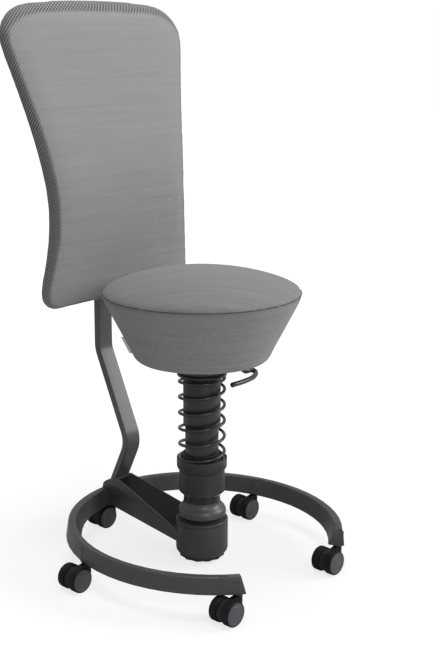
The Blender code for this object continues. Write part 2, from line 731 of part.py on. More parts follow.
def stand_tube(parent):
    inner = STAND_TUBE_RADIUS - STAND_TUBE_WALL
    floor = STAND_TUBE_BOTTOM_Z + STAND_TUBE_FLOOR
    hole = ROD_RADIUS + RUNNING_GAP
    profile = [(hole, STAND_TUBE_BOTTOM_Z), (STAND_TUBE_RADIUS, STAND_TUBE_BOTTOM_Z),
               (STAND_TUBE_RADIUS, STAND_TUBE_TOP_Z), (inner, STAND_TUBE_TOP_Z), (inner, floor), (hole, floor)]
    return piece("stand_tube", turned(profile, 24), parent, "steel")


def guide_bush(parent):
    outer = STAND_TUBE_RADIUS - STAND_TUBE_WALL - FIT_GAP
    inner = CYLINDER_RADIUS + RUNNING_GAP
    bm = tube(outer, inner, STAND_TUBE_TOP_Z - GUIDE_BUSH_LENGTH, STAND_TUBE_TOP_Z, 24)
    return piece("guide_bush", bm, parent, "black_plastic")


def thrust_bearing(parent):
    low = STAND_TUBE_BOTTOM_Z + STAND_TUBE_FLOOR + FIT_GAP
    bm = tube(BEARING_RADIUS, ROD_RADIUS + RUNNING_GAP, low, low + BEARING_HEIGHT, 24)
    return piece("thrust_bearing", bm, parent, "steel")


def piston_rod(parent):
    """Rod that stands on the thrust bearing, with the piston on top."""
    foot = STAND_TUBE_BOTTOM_Z
    shoulder = foot + STAND_TUBE_FLOOR + 2 * FIT_GAP + BEARING_HEIGHT
    collar = shoulder + ROD_SHOULDER_HEIGHT
    piston = CYLINDER_BORE - FIT_GAP
    profile = [(0.0, foot), (ROD_RADIUS, foot), (ROD_RADIUS, shoulder), (ROD_SHOULDER_RADIUS, shoulder),
               (ROD_SHOULDER_RADIUS, collar), (ROD_RADIUS, collar), (ROD_RADIUS, PISTON_TOP_Z - PISTON_HEIGHT),
               (piston, PISTON_TOP_Z - PISTON_HEIGHT), (piston, PISTON_TOP_Z), (0.0, PISTON_TOP_Z)]
    return piece("piston_rod", turned(profile, SMALL_STEPS, closed=False), parent, "steel")


def gas_cylinder(parent):
    hole = ROD_RADIUS + FIT_GAP
    bore_low = CYLINDER_BOTTOM_Z + CYLINDER_END_WALL
    bore_high = CYLINDER_TOP_Z - CYLINDER_HEAD
    well = CYLINDER_TOP_Z - BUTTON_HEIGHT + BUTTON_TRAVEL - 2 * FIT_GAP
    well_radius = BUTTON_RADIUS + RUNNING_GAP
    well_floor = well - BUTTON_TRAVEL - FIT_GAP
    profile = [(0.0, bore_high), (CYLINDER_BORE, bore_high), (CYLINDER_BORE, bore_low), (hole, bore_low),
               (hole, CYLINDER_BOTTOM_Z), (CYLINDER_RADIUS, CYLINDER_BOTTOM_Z), (CYLINDER_RADIUS, CYLINDER_TOP_Z),
               (well_radius, CYLINDER_TOP_Z), (well_radius, well_floor), (0.0, well_floor)]
    bm = turned(profile, 24, closed=False)
    return piece("gas_cylinder", bm, parent, "steel")


def valve_button(parent):
    slide = empty("valve_slide", (0, 0, CYLINDER_TOP_Z), parent)
    top = LEVER_Z - LEVER_WIRE / 2 - FIT_GAP
    return piece("valve_button", rod(BUTTON_RADIUS, top - BUTTON_HEIGHT + 2 * FIT_GAP, top), slide, "steel")


# Seat

def screw_places():
    for k in range(4):
        angle = math.radians(LEVER_DIRECTION_DEG + 45 + 90 * k)
        yield k + 1, Matrix.Translation((SCREW_ORBIT * math.cos(angle), SCREW_ORBIT * math.sin(angle), 0))


def lever_frame():
    """Turns X to the lever's direction, about the column's axis."""
    return Matrix.Rotation(math.radians(LEVER_DIRECTION_DEG), 4, "Z")


def seat_pan(parent):
    """Pressed pan with the hub that the gas cylinder fits, a slot for the lever and four screw holes."""
    bore = CYLINDER_RADIUS + FIT_GAP
    floor = PAN_FLOOR_Z + PAN_SHEET
    wall = PAN_WALL_RADIUS - PAN_SHEET
    top = PAN_FLANGE_Z + PAN_SHEET
    profile = [(bore, PAN_BOTTOM_Z), (PAN_HUB_RADIUS, PAN_BOTTOM_Z), (PAN_HUB_RADIUS, PAN_FLOOR_Z),
               (PAN_WALL_RADIUS, PAN_FLOOR_Z), (PAN_WALL_RADIUS, PAN_FLANGE_Z), (PAN_FLANGE_RADIUS, PAN_FLANGE_Z),
               (PAN_FLANGE_RADIUS, top), (wall, top), (wall, floor), (bore, floor)]
    pan = piece("seat_pan", turned(profile), parent, "column_black")
    half = LEVER_SLOT_WIDTH / 2
    slot = box((wall - 0.004, -half, floor + 0.001), (PAN_WALL_RADIUS + 0.004, half, top + 0.010))
    boolean(pan, cutter("lever_slot", moved(slot, lever_frame()), parent), "DIFFERENCE")
    for k, at in screw_places():
        hole = moved(rod(SCREW_SHANK + FIT_GAP, PAN_FLANGE_Z - 0.01, top + 0.01, 12), at)
        boolean(pan, cutter(f"pan_hole_{k}", hole, parent), "DIFFERENCE")


def seat_board(parent):
    low = PAN_FLANGE_Z + PAN_SHEET + FIT_GAP
    board = piece("seat_board", rod(BOARD_RADIUS, low, low + BOARD_THICKNESS, ROUND_STEPS), parent, "plywood")
    for k, at in screw_places():
        hole = moved(rod(SCREW_SHANK + FIT_GAP, low - 0.01, low + SCREW_BITE + FIT_GAP, 12), at)
        boolean(board, cutter(f"board_hole_{k}", hole, parent), "DIFFERENCE")


def seat_screws(parent):
    under = PAN_FLANGE_Z - FIT_GAP
    tip = PAN_FLANGE_Z + PAN_SHEET + FIT_GAP + SCREW_BITE
    for k, at in screw_places():
        profile = [(0.0, under - SCREW_HEAD_HEIGHT), (SCREW_HEAD_RADIUS, under - SCREW_HEAD_HEIGHT),
                   (SCREW_HEAD_RADIUS, under), (SCREW_SHANK, under), (SCREW_SHANK, tip), (0.0, tip)]
        piece(f"seat_screw_{k}", moved(turned(profile, 12, closed=False), at), parent, "steel")


def seat_side_radius(height):
    """Radius of the cushion's tapering side at that height."""
    low = SEAT_BOTTOM_Z + SEAT_BOTTOM_ROUND
    share = (height - low) / (SEAT_RIM_Z - low)
    return SEAT_BOTTOM_RADIUS + share * (SEAT_RADIUS - SEAT_BOTTOM_RADIUS)


def seat_cushion(parent):
    """Crowned cushion with a tapering side, hollow underneath where it fits over the board."""
    hollow = BOARD_RADIUS + 5 * FIT_GAP
    ceiling = PAN_FLANGE_Z + PAN_SHEET + 2 * FIT_GAP + BOARD_THICKNESS
    low = SEAT_BOTTOM_Z
    rounded = SEAT_BOTTOM_ROUND
    profile = [(0.0, ceiling), (hollow, ceiling), (hollow, low), (SEAT_BOTTOM_RADIUS - rounded, low),
               (SEAT_BOTTOM_RADIUS - 0.35 * rounded, low + 0.25 * rounded),
               (SEAT_BOTTOM_RADIUS, low + rounded)]
    middle = (low + rounded + SEAT_RIM_Z) / 2
    drawn_in = 0.0015
    profile += [(seat_side_radius(middle) - drawn_in, middle),
                (SEAT_RADIUS - 0.3 * SEAT_RIM_EDGE, SEAT_RIM_Z - 0.6 * SEAT_RIM_EDGE),
                (SEAT_RADIUS, SEAT_RIM_Z)]
    crown_edge = SEAT_RADIUS - 0.4 * SEAT_RIM_EDGE
    for k in range(CROWN_RINGS):
        share = 1 - k / CROWN_RINGS
        profile.append((crown_edge * share, SEAT_RIM_Z + SEAT_RIM_EDGE + SEAT_CROWN * (1 - share ** 2.2)))
    profile.append((0.0, SEAT_RIM_Z + SEAT_RIM_EDGE + SEAT_CROWN))
    return piece("seat_cushion", turned(profile, SEAT_STEPS, closed=False), parent, "seat_fabric", 40)


def seat_tag(parent):
    """Small folded cloth tag sewn to the side of the cushion."""
    heights = (TAG_LOW_Z, TAG_LOW_Z + TAG_HEIGHT)
    half = TAG_THICKNESS / 2
    outline = [(seat_side_radius(heights[0]) + 2 * FIT_GAP, heights[0]),
               (seat_side_radius(heights[0]) + TAG_REACH, heights[0]),
               (seat_side_radius(heights[1]) + TAG_REACH, heights[1]),
               (seat_side_radius(heights[1]) + 2 * FIT_GAP, heights[1])]
    turn = Matrix.Rotation(math.radians(TAG_DIRECTION_DEG - 90), 4, "Z")
    return piece("seat_tag", moved(prism(outline, -half, half), turn), parent, "tag_fabric")


# Height lever

def lever_path():
    """Centre line from the end over the valve button, out through the pan's slot and round the handle."""
    out = lever_frame() @ Vector((1, 0, 0))
    half_button = BUTTON_RADIUS
    inner = [(-half_button * out.x, -half_button * out.y, LEVER_Z), (0.3 * LEVER_PIN_REACH * out.x,
             0.3 * LEVER_PIN_REACH * out.y, LEVER_Z)]
    reach = (LEVER_PIN_REACH, PAN_WALL_RADIUS - 0.006)
    inner += [(r * out.x, r * out.y, LEVER_Z) for r in reach]
    knee = PAN_WALL_RADIUS + 0.010
    drops = ((knee, LEVER_Z - 0.012), (knee + 0.001, (LEVER_Z + LEVER_HANDLE_Z) / 2),
             (knee + 0.002, LEVER_HANDLE_Z + 0.017))
    inner += [(r * out.x, r * out.y, z) for r, z in drops]
    handle = [(x, y, LEVER_HANDLE_Z + rise) for x, y, rise in LEVER_HANDLE]
    return smooth_path(inner + handle, 3)


def release_lever(parent):
    pivot_at = lever_frame() @ Vector((LEVER_PIN_REACH, 0, LEVER_Z))
    pivot = empty("lever_pivot", pivot_at, parent)
    lever = piece("release_lever", swept(lever_path(), LEVER_WIRE / 2, 10), pivot, "spring_black", 50)
    at = Matrix.Translation(pivot_at) @ lever_frame()
    hole = along_y(rod(LEVER_PIN_RADIUS + FIT_GAP, -LEVER_WIRE, LEVER_WIRE, 12))
    boolean(lever, cutter("lever_pin_hole", moved(hole, at), pivot), "DIFFERENCE")


def lever_bracket(parent):
    """Two cheeks on a foot that stands on the pan's floor and carries the lever's pin."""
    gap = LEVER_WIRE / 2 + RUNNING_GAP
    outer = gap + BRACKET_CHEEK
    low = PAN_FLOOR_Z + PAN_SHEET + FIT_GAP
    foot = low + 0.003
    high = LEVER_Z + 0.004
    outline = [(-outer, low), (outer, low), (outer, high), (gap, high), (gap, foot), (-gap, foot),
               (-gap, high), (-outer, high)]
    at = Matrix.Translation(lever_frame() @ Vector((LEVER_PIN_REACH, 0, 0))) @ lever_frame()
    half = BRACKET_LENGTH / 2
    bracket = piece("lever_bracket", moved(prism(outline, -half, half), at), parent, "black_plastic")
    lift = Matrix.Translation((0, 0, LEVER_Z))
    hole = along_y(rod(LEVER_PIN_RADIUS + FIT_GAP, -2 * outer, 2 * outer, 12))
    boolean(bracket, cutter("bracket_pin_hole", moved(hole, at @ lift), parent), "DIFFERENCE")
    pin = along_y(rod(LEVER_PIN_RADIUS, -outer, outer, 12))
    piece("lever_pin", moved(pin, at @ lift), parent, "steel")


# Mast and rear beam

def bent_line(corners, radius, count):
    """A line of (y, z) points with each inner corner turned as an arc."""
    points = [Vector(c) for c in corners]
    line = [points[0]]
    for before, corner, after in zip(points, points[1:], points[2:]):
        back, ahead = (before - corner).normalized(), (after - corner).normalized()
        half = back.angle(ahead) / 2
        centre = corner + (back + ahead).normalized() * radius / math.sin(half)
        start = corner + back * radius / math.tan(half)
        sweep = start - centre
        turn = math.pi - 2 * half
        sign = 1 if back.x * ahead.y - back.y * ahead.x < 0 else -1
        for k in range(count + 1):
            angle = sign * turn * k / count
            line.append(centre + Vector((sweep.x * math.cos(angle) - sweep.y * math.sin(angle),
                                         sweep.x * math.sin(angle) + sweep.y * math.cos(angle))))
    line.append(points[-1])
    return line


def mast_outline(extra):
    """Side view of the bent bar, grown by extra all round."""
    top = (MAST_SHOULDER[0], MAST_TOP_Z)
    line = bent_line([MAST_FOOT, MAST_KNEE, MAST_SHOULDER, top], MAST_BEND_RADIUS, MAST_BEND_POINTS)
    half = MAST_DEPTH / 2 + extra
    rear, front = [], []
    for i, point in enumerate(line):
        ahead = (line[min(i + 1, len(line) - 1)] - line[max(i - 1, 0)]).normalized()
        across = Vector((ahead.y, -ahead.x))
        stretch = -extra if i == 0 else (extra if i == len(line) - 1 else 0.0)
        rear.append(tuple(point + across * half + ahead * stretch))
        front.append(tuple(point - across * half + ahead * stretch))
    return rear + front[::-1]


def mast(parent):
    half = MAST_WIDTH / 2
    bar = piece("mast", prism(mast_outline(0.0), -half, half), parent, "mast_paint", 30)
    bevel(bar, MAST_EDGE, 2, 50)


def ring_rear(radius, half):
    """Where the ring's inner side lies behind the column, at that half width."""
    across = math.sqrt(1 - (half / radius) ** 2)
    return RING_CENTRE_Y + RING_LENGTH_RATIO * radius * across


def beam_top_z(y):
    share = (y - BEAM_FRONT_Y) / (BEAM_TOP_REAR_Y - BEAM_FRONT_Y)
    return BEAM_TOP_FRONT_Z + share * (BEAM_TOP_REAR_Z - BEAM_TOP_FRONT_Z)


def beam_half_width(y):
    share = min(1.0, max(0.0, (y - BEAM_FRONT_Y) / (BEAM_TOP_REAR_Y - BEAM_FRONT_Y)))
    return BEAM_FRONT_HALF + share * (BEAM_REAR_HALF - BEAM_FRONT_HALF)


def tapered(outline, inset):
    """An outline of (y, z) points given the beam's width, which grows towards the barrel."""
    bm = prism(outline, -1.0, 1.0)
    for vert in bm.verts:
        vert.co.x *= beam_half_width(vert.co.y) - inset
    return bm


def rear_beam(parent):
    low = ring_rear(RING_INNER_BOTTOM, BEAM_REAR_HALF) - 3 * FIT_GAP
    high = ring_rear(RING_INNER_TOP, BEAM_REAR_HALF) - 3 * FIT_GAP
    heel = ring_rear(RING_OUTER_TOP, BEAM_REAR_HALF) - RING_EDGE_CHAMFER
    over = RING_TOP_Z + FIT_GAP
    outline = [(BEAM_FRONT_Y, BEAM_BOTTOM_FRONT_Z), (low, BEAM_BOTTOM_REAR_Z), (low, RING_BOTTOM_Z),
               (high, over), (heel, over), (heel - 0.25 * BEAM_HEEL_INSET, BEAM_HEEL_Z - 0.008),
               (heel - BEAM_HEEL_INSET, BEAM_HEEL_Z), (BEAM_TOP_REAR_Y, BEAM_TOP_REAR_Z),
               (BEAM_FRONT_Y, BEAM_TOP_FRONT_Z)]
    beam = piece("rear_beam", tapered(outline, 0.0), parent, "ring_paint", 25)
    bevel(beam, BEAM_EDGE, 1, 30)
    drum = rod(BARREL_RADIUS + FIT_GAP, 0.0, 2 * BEAM_TOP_REAR_Z, ROUND_STEPS)
    boolean(beam, cutter("barrel_seat", drum, parent), "DIFFERENCE")
    half = MAST_WIDTH / 2 + FIT_GAP
    boolean(beam, cutter("mast_socket", prism(mast_outline(FIT_GAP), -half, half), parent), "DIFFERENCE")
    recess = tapered(cover_outline(FIT_GAP, 0.01), COVER_MARGIN - FIT_GAP)
    boolean(beam, cutter("cover_recess", recess, parent), "DIFFERENCE")


def cover_outline(extra, above):
    """Side view of the strip let into the beam's top, grown by extra and raised by above."""
    rear = BEAM_TOP_REAR_Y - 2 * COVER_MARGIN + extra
    front = COVER_FRONT_Y - extra
    under = COVER_THICKNESS + extra
    return [(front, beam_top_z(front) - under), (rear, beam_top_z(rear) - under),
            (rear, beam_top_z(rear) + above), (front, beam_top_z(front) + above)]


def beam_cover(parent):
    outline = cover_outline(0.0, -FIT_GAP)
    cover = piece("beam_cover", tapered(outline, COVER_MARGIN), parent, "black_plastic")
    drum = rod(BARREL_RADIUS + COVER_BARREL_GAP, 0.0, 2 * BEAM_TOP_REAR_Z, ROUND_STEPS)
    boolean(cover, cutter("cover_barrel_cut", drum, parent), "DIFFERENCE")
    return cover


# Backrest

def back_half_width(z):
    """Half width of the backrest's outline, with its waist and rounded corners."""
    if z > BACK_WAIST_Z:
        share = min(1.0, (z - BACK_WAIST_Z) / (BACK_WIDEST_Z - BACK_WAIST_Z))
        half = BACK_WAIST_HALF + (BACK_TOP_HALF - BACK_WAIST_HALF) * share ** BACK_FLARE
    else:
        share = (BACK_WAIST_Z - z) / (BACK_WAIST_Z - BACK_BOTTOM_Z)
        half = BACK_WAIST_HALF + (BACK_BOTTOM_HALF - BACK_WAIST_HALF) * share ** BACK_FLARE
    for edge, corner in ((BACK_TOP_Z - z, BACK_TOP_CORNER), (z - BACK_BOTTOM_Z, BACK_BOTTOM_CORNER)):
        if edge < corner:
            half -= corner * (1 - math.sqrt(max(0.0, 1 - (1 - edge / corner) ** 2)))
    return half


def back_front_y(z):
    """Side view of the front: furthest forward at the lumbar, leaning back above it."""
    rise = LUMBAR_RISE_UP if z > LUMBAR_Z else LUMBAR_RISE_DOWN
    return LUMBAR_Y + rise * (math.sqrt(1 + ((z - LUMBAR_Z) / LUMBAR_BLEND) ** 2) - 1)


def back_depth(z):
    if z > LUMBAR_Z:
        share = (z - LUMBAR_Z) / (BACK_TOP_Z - LUMBAR_Z)
        return BACK_DEPTH_LUMBAR + (BACK_DEPTH_TOP - BACK_DEPTH_LUMBAR) * share
    share = (LUMBAR_Z - z) / (LUMBAR_Z - BACK_BOTTOM_Z)
    return BACK_DEPTH_LUMBAR + (BACK_DEPTH_BOTTOM - BACK_DEPTH_LUMBAR) * share


def back_height(share):
    """Heights from bottom to top, closer together near the rounded ends."""
    return BACK_BOTTOM_Z + (BACK_TOP_Z - BACK_BOTTOM_Z) * 0.5 * (1 - math.cos(math.pi * share))


def back_point(row, u, near, set_back=0.0):
    """A point of the pad's front or rear on that row, u from -1 to 1 across it."""
    z = back_height(0.004 + 0.992 * row / BACK_ROWS)
    half, depth = back_half_width(z), back_depth(z)
    ends = min(1.0, (BACK_TOP_Z - z) / BACK_END_ROUND, (z - BACK_BOTTOM_Z) / BACK_END_ROUND)
    fullness = math.sqrt(1 - (1 - max(0.06, ends)) ** 2)
    edge = BACK_EDGE_SHARE * depth
    side = math.sqrt(1 - max(0.0, (abs(u) - BACK_FLAT_SHARE) / (1 - BACK_FLAT_SHARE)) ** 2)
    thick = (edge + (depth / 2 - edge) * side) * fullness
    y = back_front_y(z) + depth / 2 + BACK_HOLLOW * (1 - u * u) + (-thick if near else thick)
    high = max(0.0, (z - BACK_WAIST_Z) / (BACK_TOP_Z - BACK_WAIST_Z))
    return (u * half, y + set_back, z + BACK_TOP_ARCH * (1 - u * u) * high ** 4)


def backrest_pad(parent):
    """Crowned pad: each level is a flat oval, hollowed a little from side to side."""
    loops = []
    for row in range(BACK_ROWS + 1):
        loops.append([back_point(row, u, True) for u in BACK_SPREAD]
                     + [back_point(row, u, False) for u in reversed(BACK_SPREAD)])
    return piece("backrest_pad", lofted(loops), parent, "back_fabric", 60)


def backrest_shell(parent):
    """Stiff curved panel behind the pad, which carries the slide."""
    spread = [u for u in BACK_SPREAD if abs(u) <= BACK_FLAT_SHARE]
    loops = []
    for row in range(SHELL_FIRST_ROW, SHELL_LAST_ROW + 1):
        loops.append([back_point(row, u, False, FIT_GAP) for u in spread]
                     + [back_point(row, u, False, FIT_GAP + SHELL_THICKNESS) for u in reversed(spread)])
    return piece("backrest_shell", lofted(loops), parent, "black_plastic")


def mast_slot():
    """Half width, front and rear of the slide's opening for the mast."""
    half = MAST_WIDTH / 2 + CARRIER_CLEARANCE
    front = MAST_SHOULDER[0] - MAST_DEPTH / 2 - CARRIER_CLEARANCE
    rear = MAST_SHOULDER[0] + MAST_DEPTH / 2 + CARRIER_CLEARANCE
    return half, front, rear


def back_carrier(parent):
    """Slide on the back of the shell that runs on the mast, with a threaded hole for the knob."""
    half, front, rear = mast_slot()
    high = CARRIER_BOTTOM_Z + CARRIER_LENGTH
    rows = range(SHELL_FIRST_ROW, CARRIER_LAST_ROW + 1)
    shell_rear = max(back_point(row, 0.0, False, SHELL_THICKNESS)[1] for row in rows)
    face = shell_rear + 2 * FIT_GAP
    block = box((-half - CARRIER_WALL, face, CARRIER_BOTTOM_Z), (half + CARRIER_WALL, rear + CARRIER_WALL, high))
    carrier = piece("back_carrier", block, parent, "black_plastic")
    bevel(carrier, 0.002, 1, 50)
    opening = box((-half, front, CARRIER_BOTTOM_Z - 0.01), (half, rear, high + 0.01))
    boolean(carrier, cutter("mast_opening", opening, parent), "DIFFERENCE")
    at = Matrix.Translation((0, rear, CARRIER_BOTTOM_Z + CARRIER_LENGTH / 2))
    hole = along_y(rod(BACK_KNOB_STUD_RADIUS + FIT_GAP, -0.004, 2 * CARRIER_WALL, 12))
    boolean(carrier, cutter("knob_hole", moved(hole, at), parent), "DIFFERENCE")


def back_knob(parent):
    """Lobed hand knob whose stud clamps the slide to the mast."""
    _, _, rear = mast_slot()
    middle = CARRIER_BOTTOM_Z + CARRIER_LENGTH / 2
    turn = empty("back_knob_turn", (0, rear + CARRIER_WALL, middle), parent)
    at = Matrix.Translation((0, rear, middle)) @ Matrix.Rotation(-math.pi / 2, 4, "X")
    start = CARRIER_WALL + FIT_GAP
    count = BACK_KNOB_LOBES * 4
    loops = []
    for share, depth in ((0.55, 0.0), (0.60, 0.30), (0.97, 0.40), (1.0, 0.6), (0.97, 0.9), (0.85, 1.0)):
        loop = []
        for k in range(count):
            angle = math.tau * k / count
            lobe = BACK_KNOB_LOBE_DEPTH * 0.5 * (1 - math.cos(BACK_KNOB_LOBES * angle)) * (share > 0.8)
            radius = BACK_KNOB_RADIUS * share - lobe
            loop.append((radius * math.cos(angle), radius * math.sin(angle), start + depth * BACK_KNOB_LENGTH))
        loops.append(loop)
    knob = piece("back_knob", moved(lofted(loops), at), turn, "black_plastic", 40)
    stud = rod(BACK_KNOB_STUD_RADIUS, FIT_GAP, start + 0.5 * BACK_KNOB_LENGTH, 12)
    boolean(knob, cutter("knob_screw", moved(stud, at), turn), "UNION")


# Assembly

def build_base(stool):
    base = empty("base", parent=stool)
    base_ring(base)
    rear_beam(base)
    beam_cover(base)
    mast(base)
    joint_barrel(base)
    rubber_gaiter(base)
    swing_knob(base)
    for name, angle in zip(CASTOR_NAMES, CASTOR_ANGLES_DEG):
        castor(name, angle, base)


def build_column(stool):
    swing = empty("swing_pivot", (0, 0, PIVOT_Z), stool)
    swing_bush(swing)
    strut = empty("strut", parent=swing)
    for make in (ball_stem, joint_dome, neck_tube, column_sleeve, spring_cup, lower_tube, bump_stop, main_spring):
        make(strut)
    carriage = empty("carriage", parent=swing)
    for make in (upper_tube, spring_plate, stand_tube, guide_bush, thrust_bearing):
        make(carriage)
    piston_rod(empty("spindle", parent=carriage))
    return carriage


def build_seat(carriage):
    seat = empty("seat", parent=carriage)
    for make in (gas_cylinder, valve_button, seat_pan, seat_board, seat_screws, seat_cushion, seat_tag,
                 lever_bracket, release_lever):
        make(seat)


def build_backrest(stool):
    back = empty("backrest", (0, MAST_SHOULDER[0], CARRIER_BOTTOM_Z), stool)
    for make in (backrest_pad, backrest_shell, back_carrier, back_knob):
        make(back)


def set_on_floor(stool):
    """Moves the stool so that the middle of its footprint is over the origin."""
    bpy.context.view_layer.update()
    graph = bpy.context.evaluated_depsgraph_get()
    corners = []
    for obj in bpy.context.scene.objects:
        if obj.type == "MESH" and not obj.hide_render:
            shown = obj.evaluated_get(graph)
            corners += [shown.matrix_world @ Vector(c) for c in shown.bound_box]
    low = np.min([tuple(c) for c in corners], axis=0)
    high = np.max([tuple(c) for c in corners], axis=0)
    middle = (low + high) / 2
    stool.location = (-middle[0], -middle[1], -low[2])
    print(f"column axis at x {-middle[0]:.5f}, y {-middle[1]:.5f}, raised {-low[2]:.5f}")


def main():
    clear_scene()
    stool = empty("stool")
    build_base(stool)
    carriage = build_column(stool)
    build_seat(carriage)
    build_backrest(stool)
    set_on_floor(stool)


main()
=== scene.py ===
import math

import bpy
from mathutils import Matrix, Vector
from mathutils.kdtree import KDTree


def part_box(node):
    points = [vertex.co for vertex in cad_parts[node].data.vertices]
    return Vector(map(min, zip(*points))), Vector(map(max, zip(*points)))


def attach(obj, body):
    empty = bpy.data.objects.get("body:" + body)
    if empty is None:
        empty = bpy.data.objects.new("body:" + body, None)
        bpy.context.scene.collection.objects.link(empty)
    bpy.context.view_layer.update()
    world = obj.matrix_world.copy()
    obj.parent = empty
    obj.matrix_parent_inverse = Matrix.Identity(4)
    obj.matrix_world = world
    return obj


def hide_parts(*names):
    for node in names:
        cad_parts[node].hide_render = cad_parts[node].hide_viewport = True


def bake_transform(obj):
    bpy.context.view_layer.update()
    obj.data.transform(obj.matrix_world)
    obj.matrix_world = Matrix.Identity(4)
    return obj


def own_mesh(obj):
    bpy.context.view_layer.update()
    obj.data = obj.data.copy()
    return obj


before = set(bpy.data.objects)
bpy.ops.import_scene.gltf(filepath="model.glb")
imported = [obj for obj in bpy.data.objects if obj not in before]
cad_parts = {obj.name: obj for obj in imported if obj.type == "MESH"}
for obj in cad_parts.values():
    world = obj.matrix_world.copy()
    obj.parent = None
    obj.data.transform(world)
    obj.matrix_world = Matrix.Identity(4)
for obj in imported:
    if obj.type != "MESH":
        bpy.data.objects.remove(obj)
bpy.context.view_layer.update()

# The view and the studio: a pale floor that fades to white, a broad soft lamp from the right of the
# view, a weaker one from beside the camera, one from above, and even light from all round.
scene = bpy.context.scene
scene.view_settings.view_transform = "Standard"

barrel_low, barrel_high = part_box("joint_barrel")
AXIS_X = (barrel_low[0] + barrel_high[0]) / 2
AXIS_Y = (barrel_low[1] + barrel_high[1]) / 2

VIEW_DIRECTION = Vector((0.7110, 0.6682, -0.2189))
VIEW_FROM_COLUMN = Vector((-1.7639, -1.6594, 1.0883))
VIEW_SHIFT = (0.0264, -0.0407)
PHOTO_LONG_SIDE = 662
FOCAL_PIXELS = 1234.3
SENSOR_WIDTH = 36
camera_data = bpy.data.cameras.new("view")
camera_data.sensor_width = SENSOR_WIDTH
camera_data.lens = SENSOR_WIDTH * FOCAL_PIXELS / PHOTO_LONG_SIDE
camera_data.shift_x, camera_data.shift_y = VIEW_SHIFT
camera = bpy.data.objects.new("view", camera_data)
scene.collection.objects.link(camera)
camera.location = Vector((AXIS_X, AXIS_Y, 0)) + VIEW_FROM_COLUMN
camera.rotation_euler = VIEW_DIRECTION.to_track_quat("-Z", "Y").to_euler()
scene.camera = camera


def softbox(name, place, aim, size, watts):
    """A square area lamp at a place, turned to face a point."""
    data = bpy.data.lights.new(name, "AREA")
    data.size = size
    data.energy = watts
    lamp = bpy.data.objects.new(name, data)
    scene.collection.objects.link(lamp)
    lamp.location = place
    lamp.rotation_euler = (Vector(aim) - Vector(place)).to_track_quat("-Z", "Y").to_euler()


softbox("key_lamp", (2.2, -1.9, 1.8), aim=(0, 0, 0.5), size=1.6, watts=57)
softbox("front_lamp", (-1.3, -3.0, 2.0), aim=(0, 0, 0.6), size=1.2, watts=31)
softbox("top_lamp", (0.0, 0.1, 3.0), aim=(0, 0, 0), size=1.6, watts=41)


def feed(tree, node, inputs):
    """Gives each named input of a node a value or another node's output."""
    for key, value in inputs.items():
        if isinstance(value, bpy.types.NodeSocket):
            tree.links.new(value, node.inputs[key])
        else:
            node.inputs[key].default_value = value


def add_node(tree, kind, inputs=None, operation=None):
    """A new node in a tree, with its operation and what its inputs are fed."""
    node = tree.nodes.new(kind)
    if operation:
        node.operation = operation
    feed(tree, node, inputs or {})
    return node


SKY_LIGHT = 0.20
SKY_SEEN = 0.80
SKY_MIRRORED = 0.45
world = bpy.data.worlds.new("studio")
scene.world = world
world.use_nodes = True
sky = world.node_tree
sky.nodes.clear()
sky_path = add_node(sky, "ShaderNodeLightPath")
sky_seen = add_node(sky, "ShaderNodeMath", {
    0: sky_path.outputs["Is Camera Ray"], 1: SKY_SEEN, 2: SKY_LIGHT}, "MULTIPLY_ADD")
sky_mirrored = add_node(sky, "ShaderNodeMath", {
    0: sky_path.outputs["Is Glossy Ray"], 1: SKY_MIRRORED, 2: sky_seen.outputs[0]}, "MULTIPLY_ADD")
sky_light = add_node(sky, "ShaderNodeBackground", {
    "Color": (1, 1, 1, 1), "Strength": sky_mirrored.outputs[0]})
add_node(sky, "ShaderNodeOutputWorld", {"Surface": sky_light.outputs[0]})

FLOOR_SIZE = 24
FLOOR_TONE = 0.86
FLOOR_GLOW = 1.1
FADE_NEAR, FADE_FAR = 0.35, 1.1
GLOW_NEAR, GLOW_FAR = 0.70, 1.0
bpy.ops.object.select_all(action="DESELECT")
bpy.ops.mesh.primitive_plane_add(size=FLOOR_SIZE, location=(0, 0, 0))
floor = bpy.context.object
floor.name = "floor"
floor_paint = bpy.data.materials.new("floor_paint")
floor_paint.use_nodes = True
paint = floor_paint.node_tree
paint.nodes.clear()
floor_path = add_node(paint, "ShaderNodeLightPath")
floor_place = add_node(paint, "ShaderNodeTexCoord")
floor_far = add_node(paint, "ShaderNodeVectorMath", {0: floor_place.outputs["Object"]}, "LENGTH")
floor_fade = add_node(paint, "ShaderNodeMapRange", {
    "Value": floor_far.outputs["Value"], "From Min": FADE_NEAR, "From Max": FADE_FAR,
    "To Min": GLOW_NEAR, "To Max": GLOW_FAR})
floor_share = add_node(paint, "ShaderNodeMath", {
    0: floor_path.outputs["Is Camera Ray"], 1: floor_fade.outputs["Result"]}, "MULTIPLY")
floor_matt = add_node(paint, "ShaderNodeBsdfDiffuse", {
    "Color": (FLOOR_TONE, FLOOR_TONE, FLOOR_TONE, 1)})
floor_glow = add_node(paint, "ShaderNodeEmission", {"Strength": FLOOR_GLOW})
floor_mix = add_node(paint, "ShaderNodeMixShader", {
    "Fac": floor_share.outputs[0], 1: floor_matt.outputs[0], 2: floor_glow.outputs[0]})
add_node(paint, "ShaderNodeOutputMaterial", {"Surface": floor_mix.outputs[0]})
floor.data.materials.append(floor_paint)


# The open base ring: a flat steel band bent to an oval and left open at the front, wider at its
# foot, with a socket for each castor. Powder coated in a satin anthracite with a fine texture.
CLOUD_SCALE = 14.0
GLOSS_SPREAD = 0.06
TOOTH_HEIGHT = 0.0004
MERGE_DISTANCE = 0.00002
FLAT_ANGLE = math.radians(0.3)


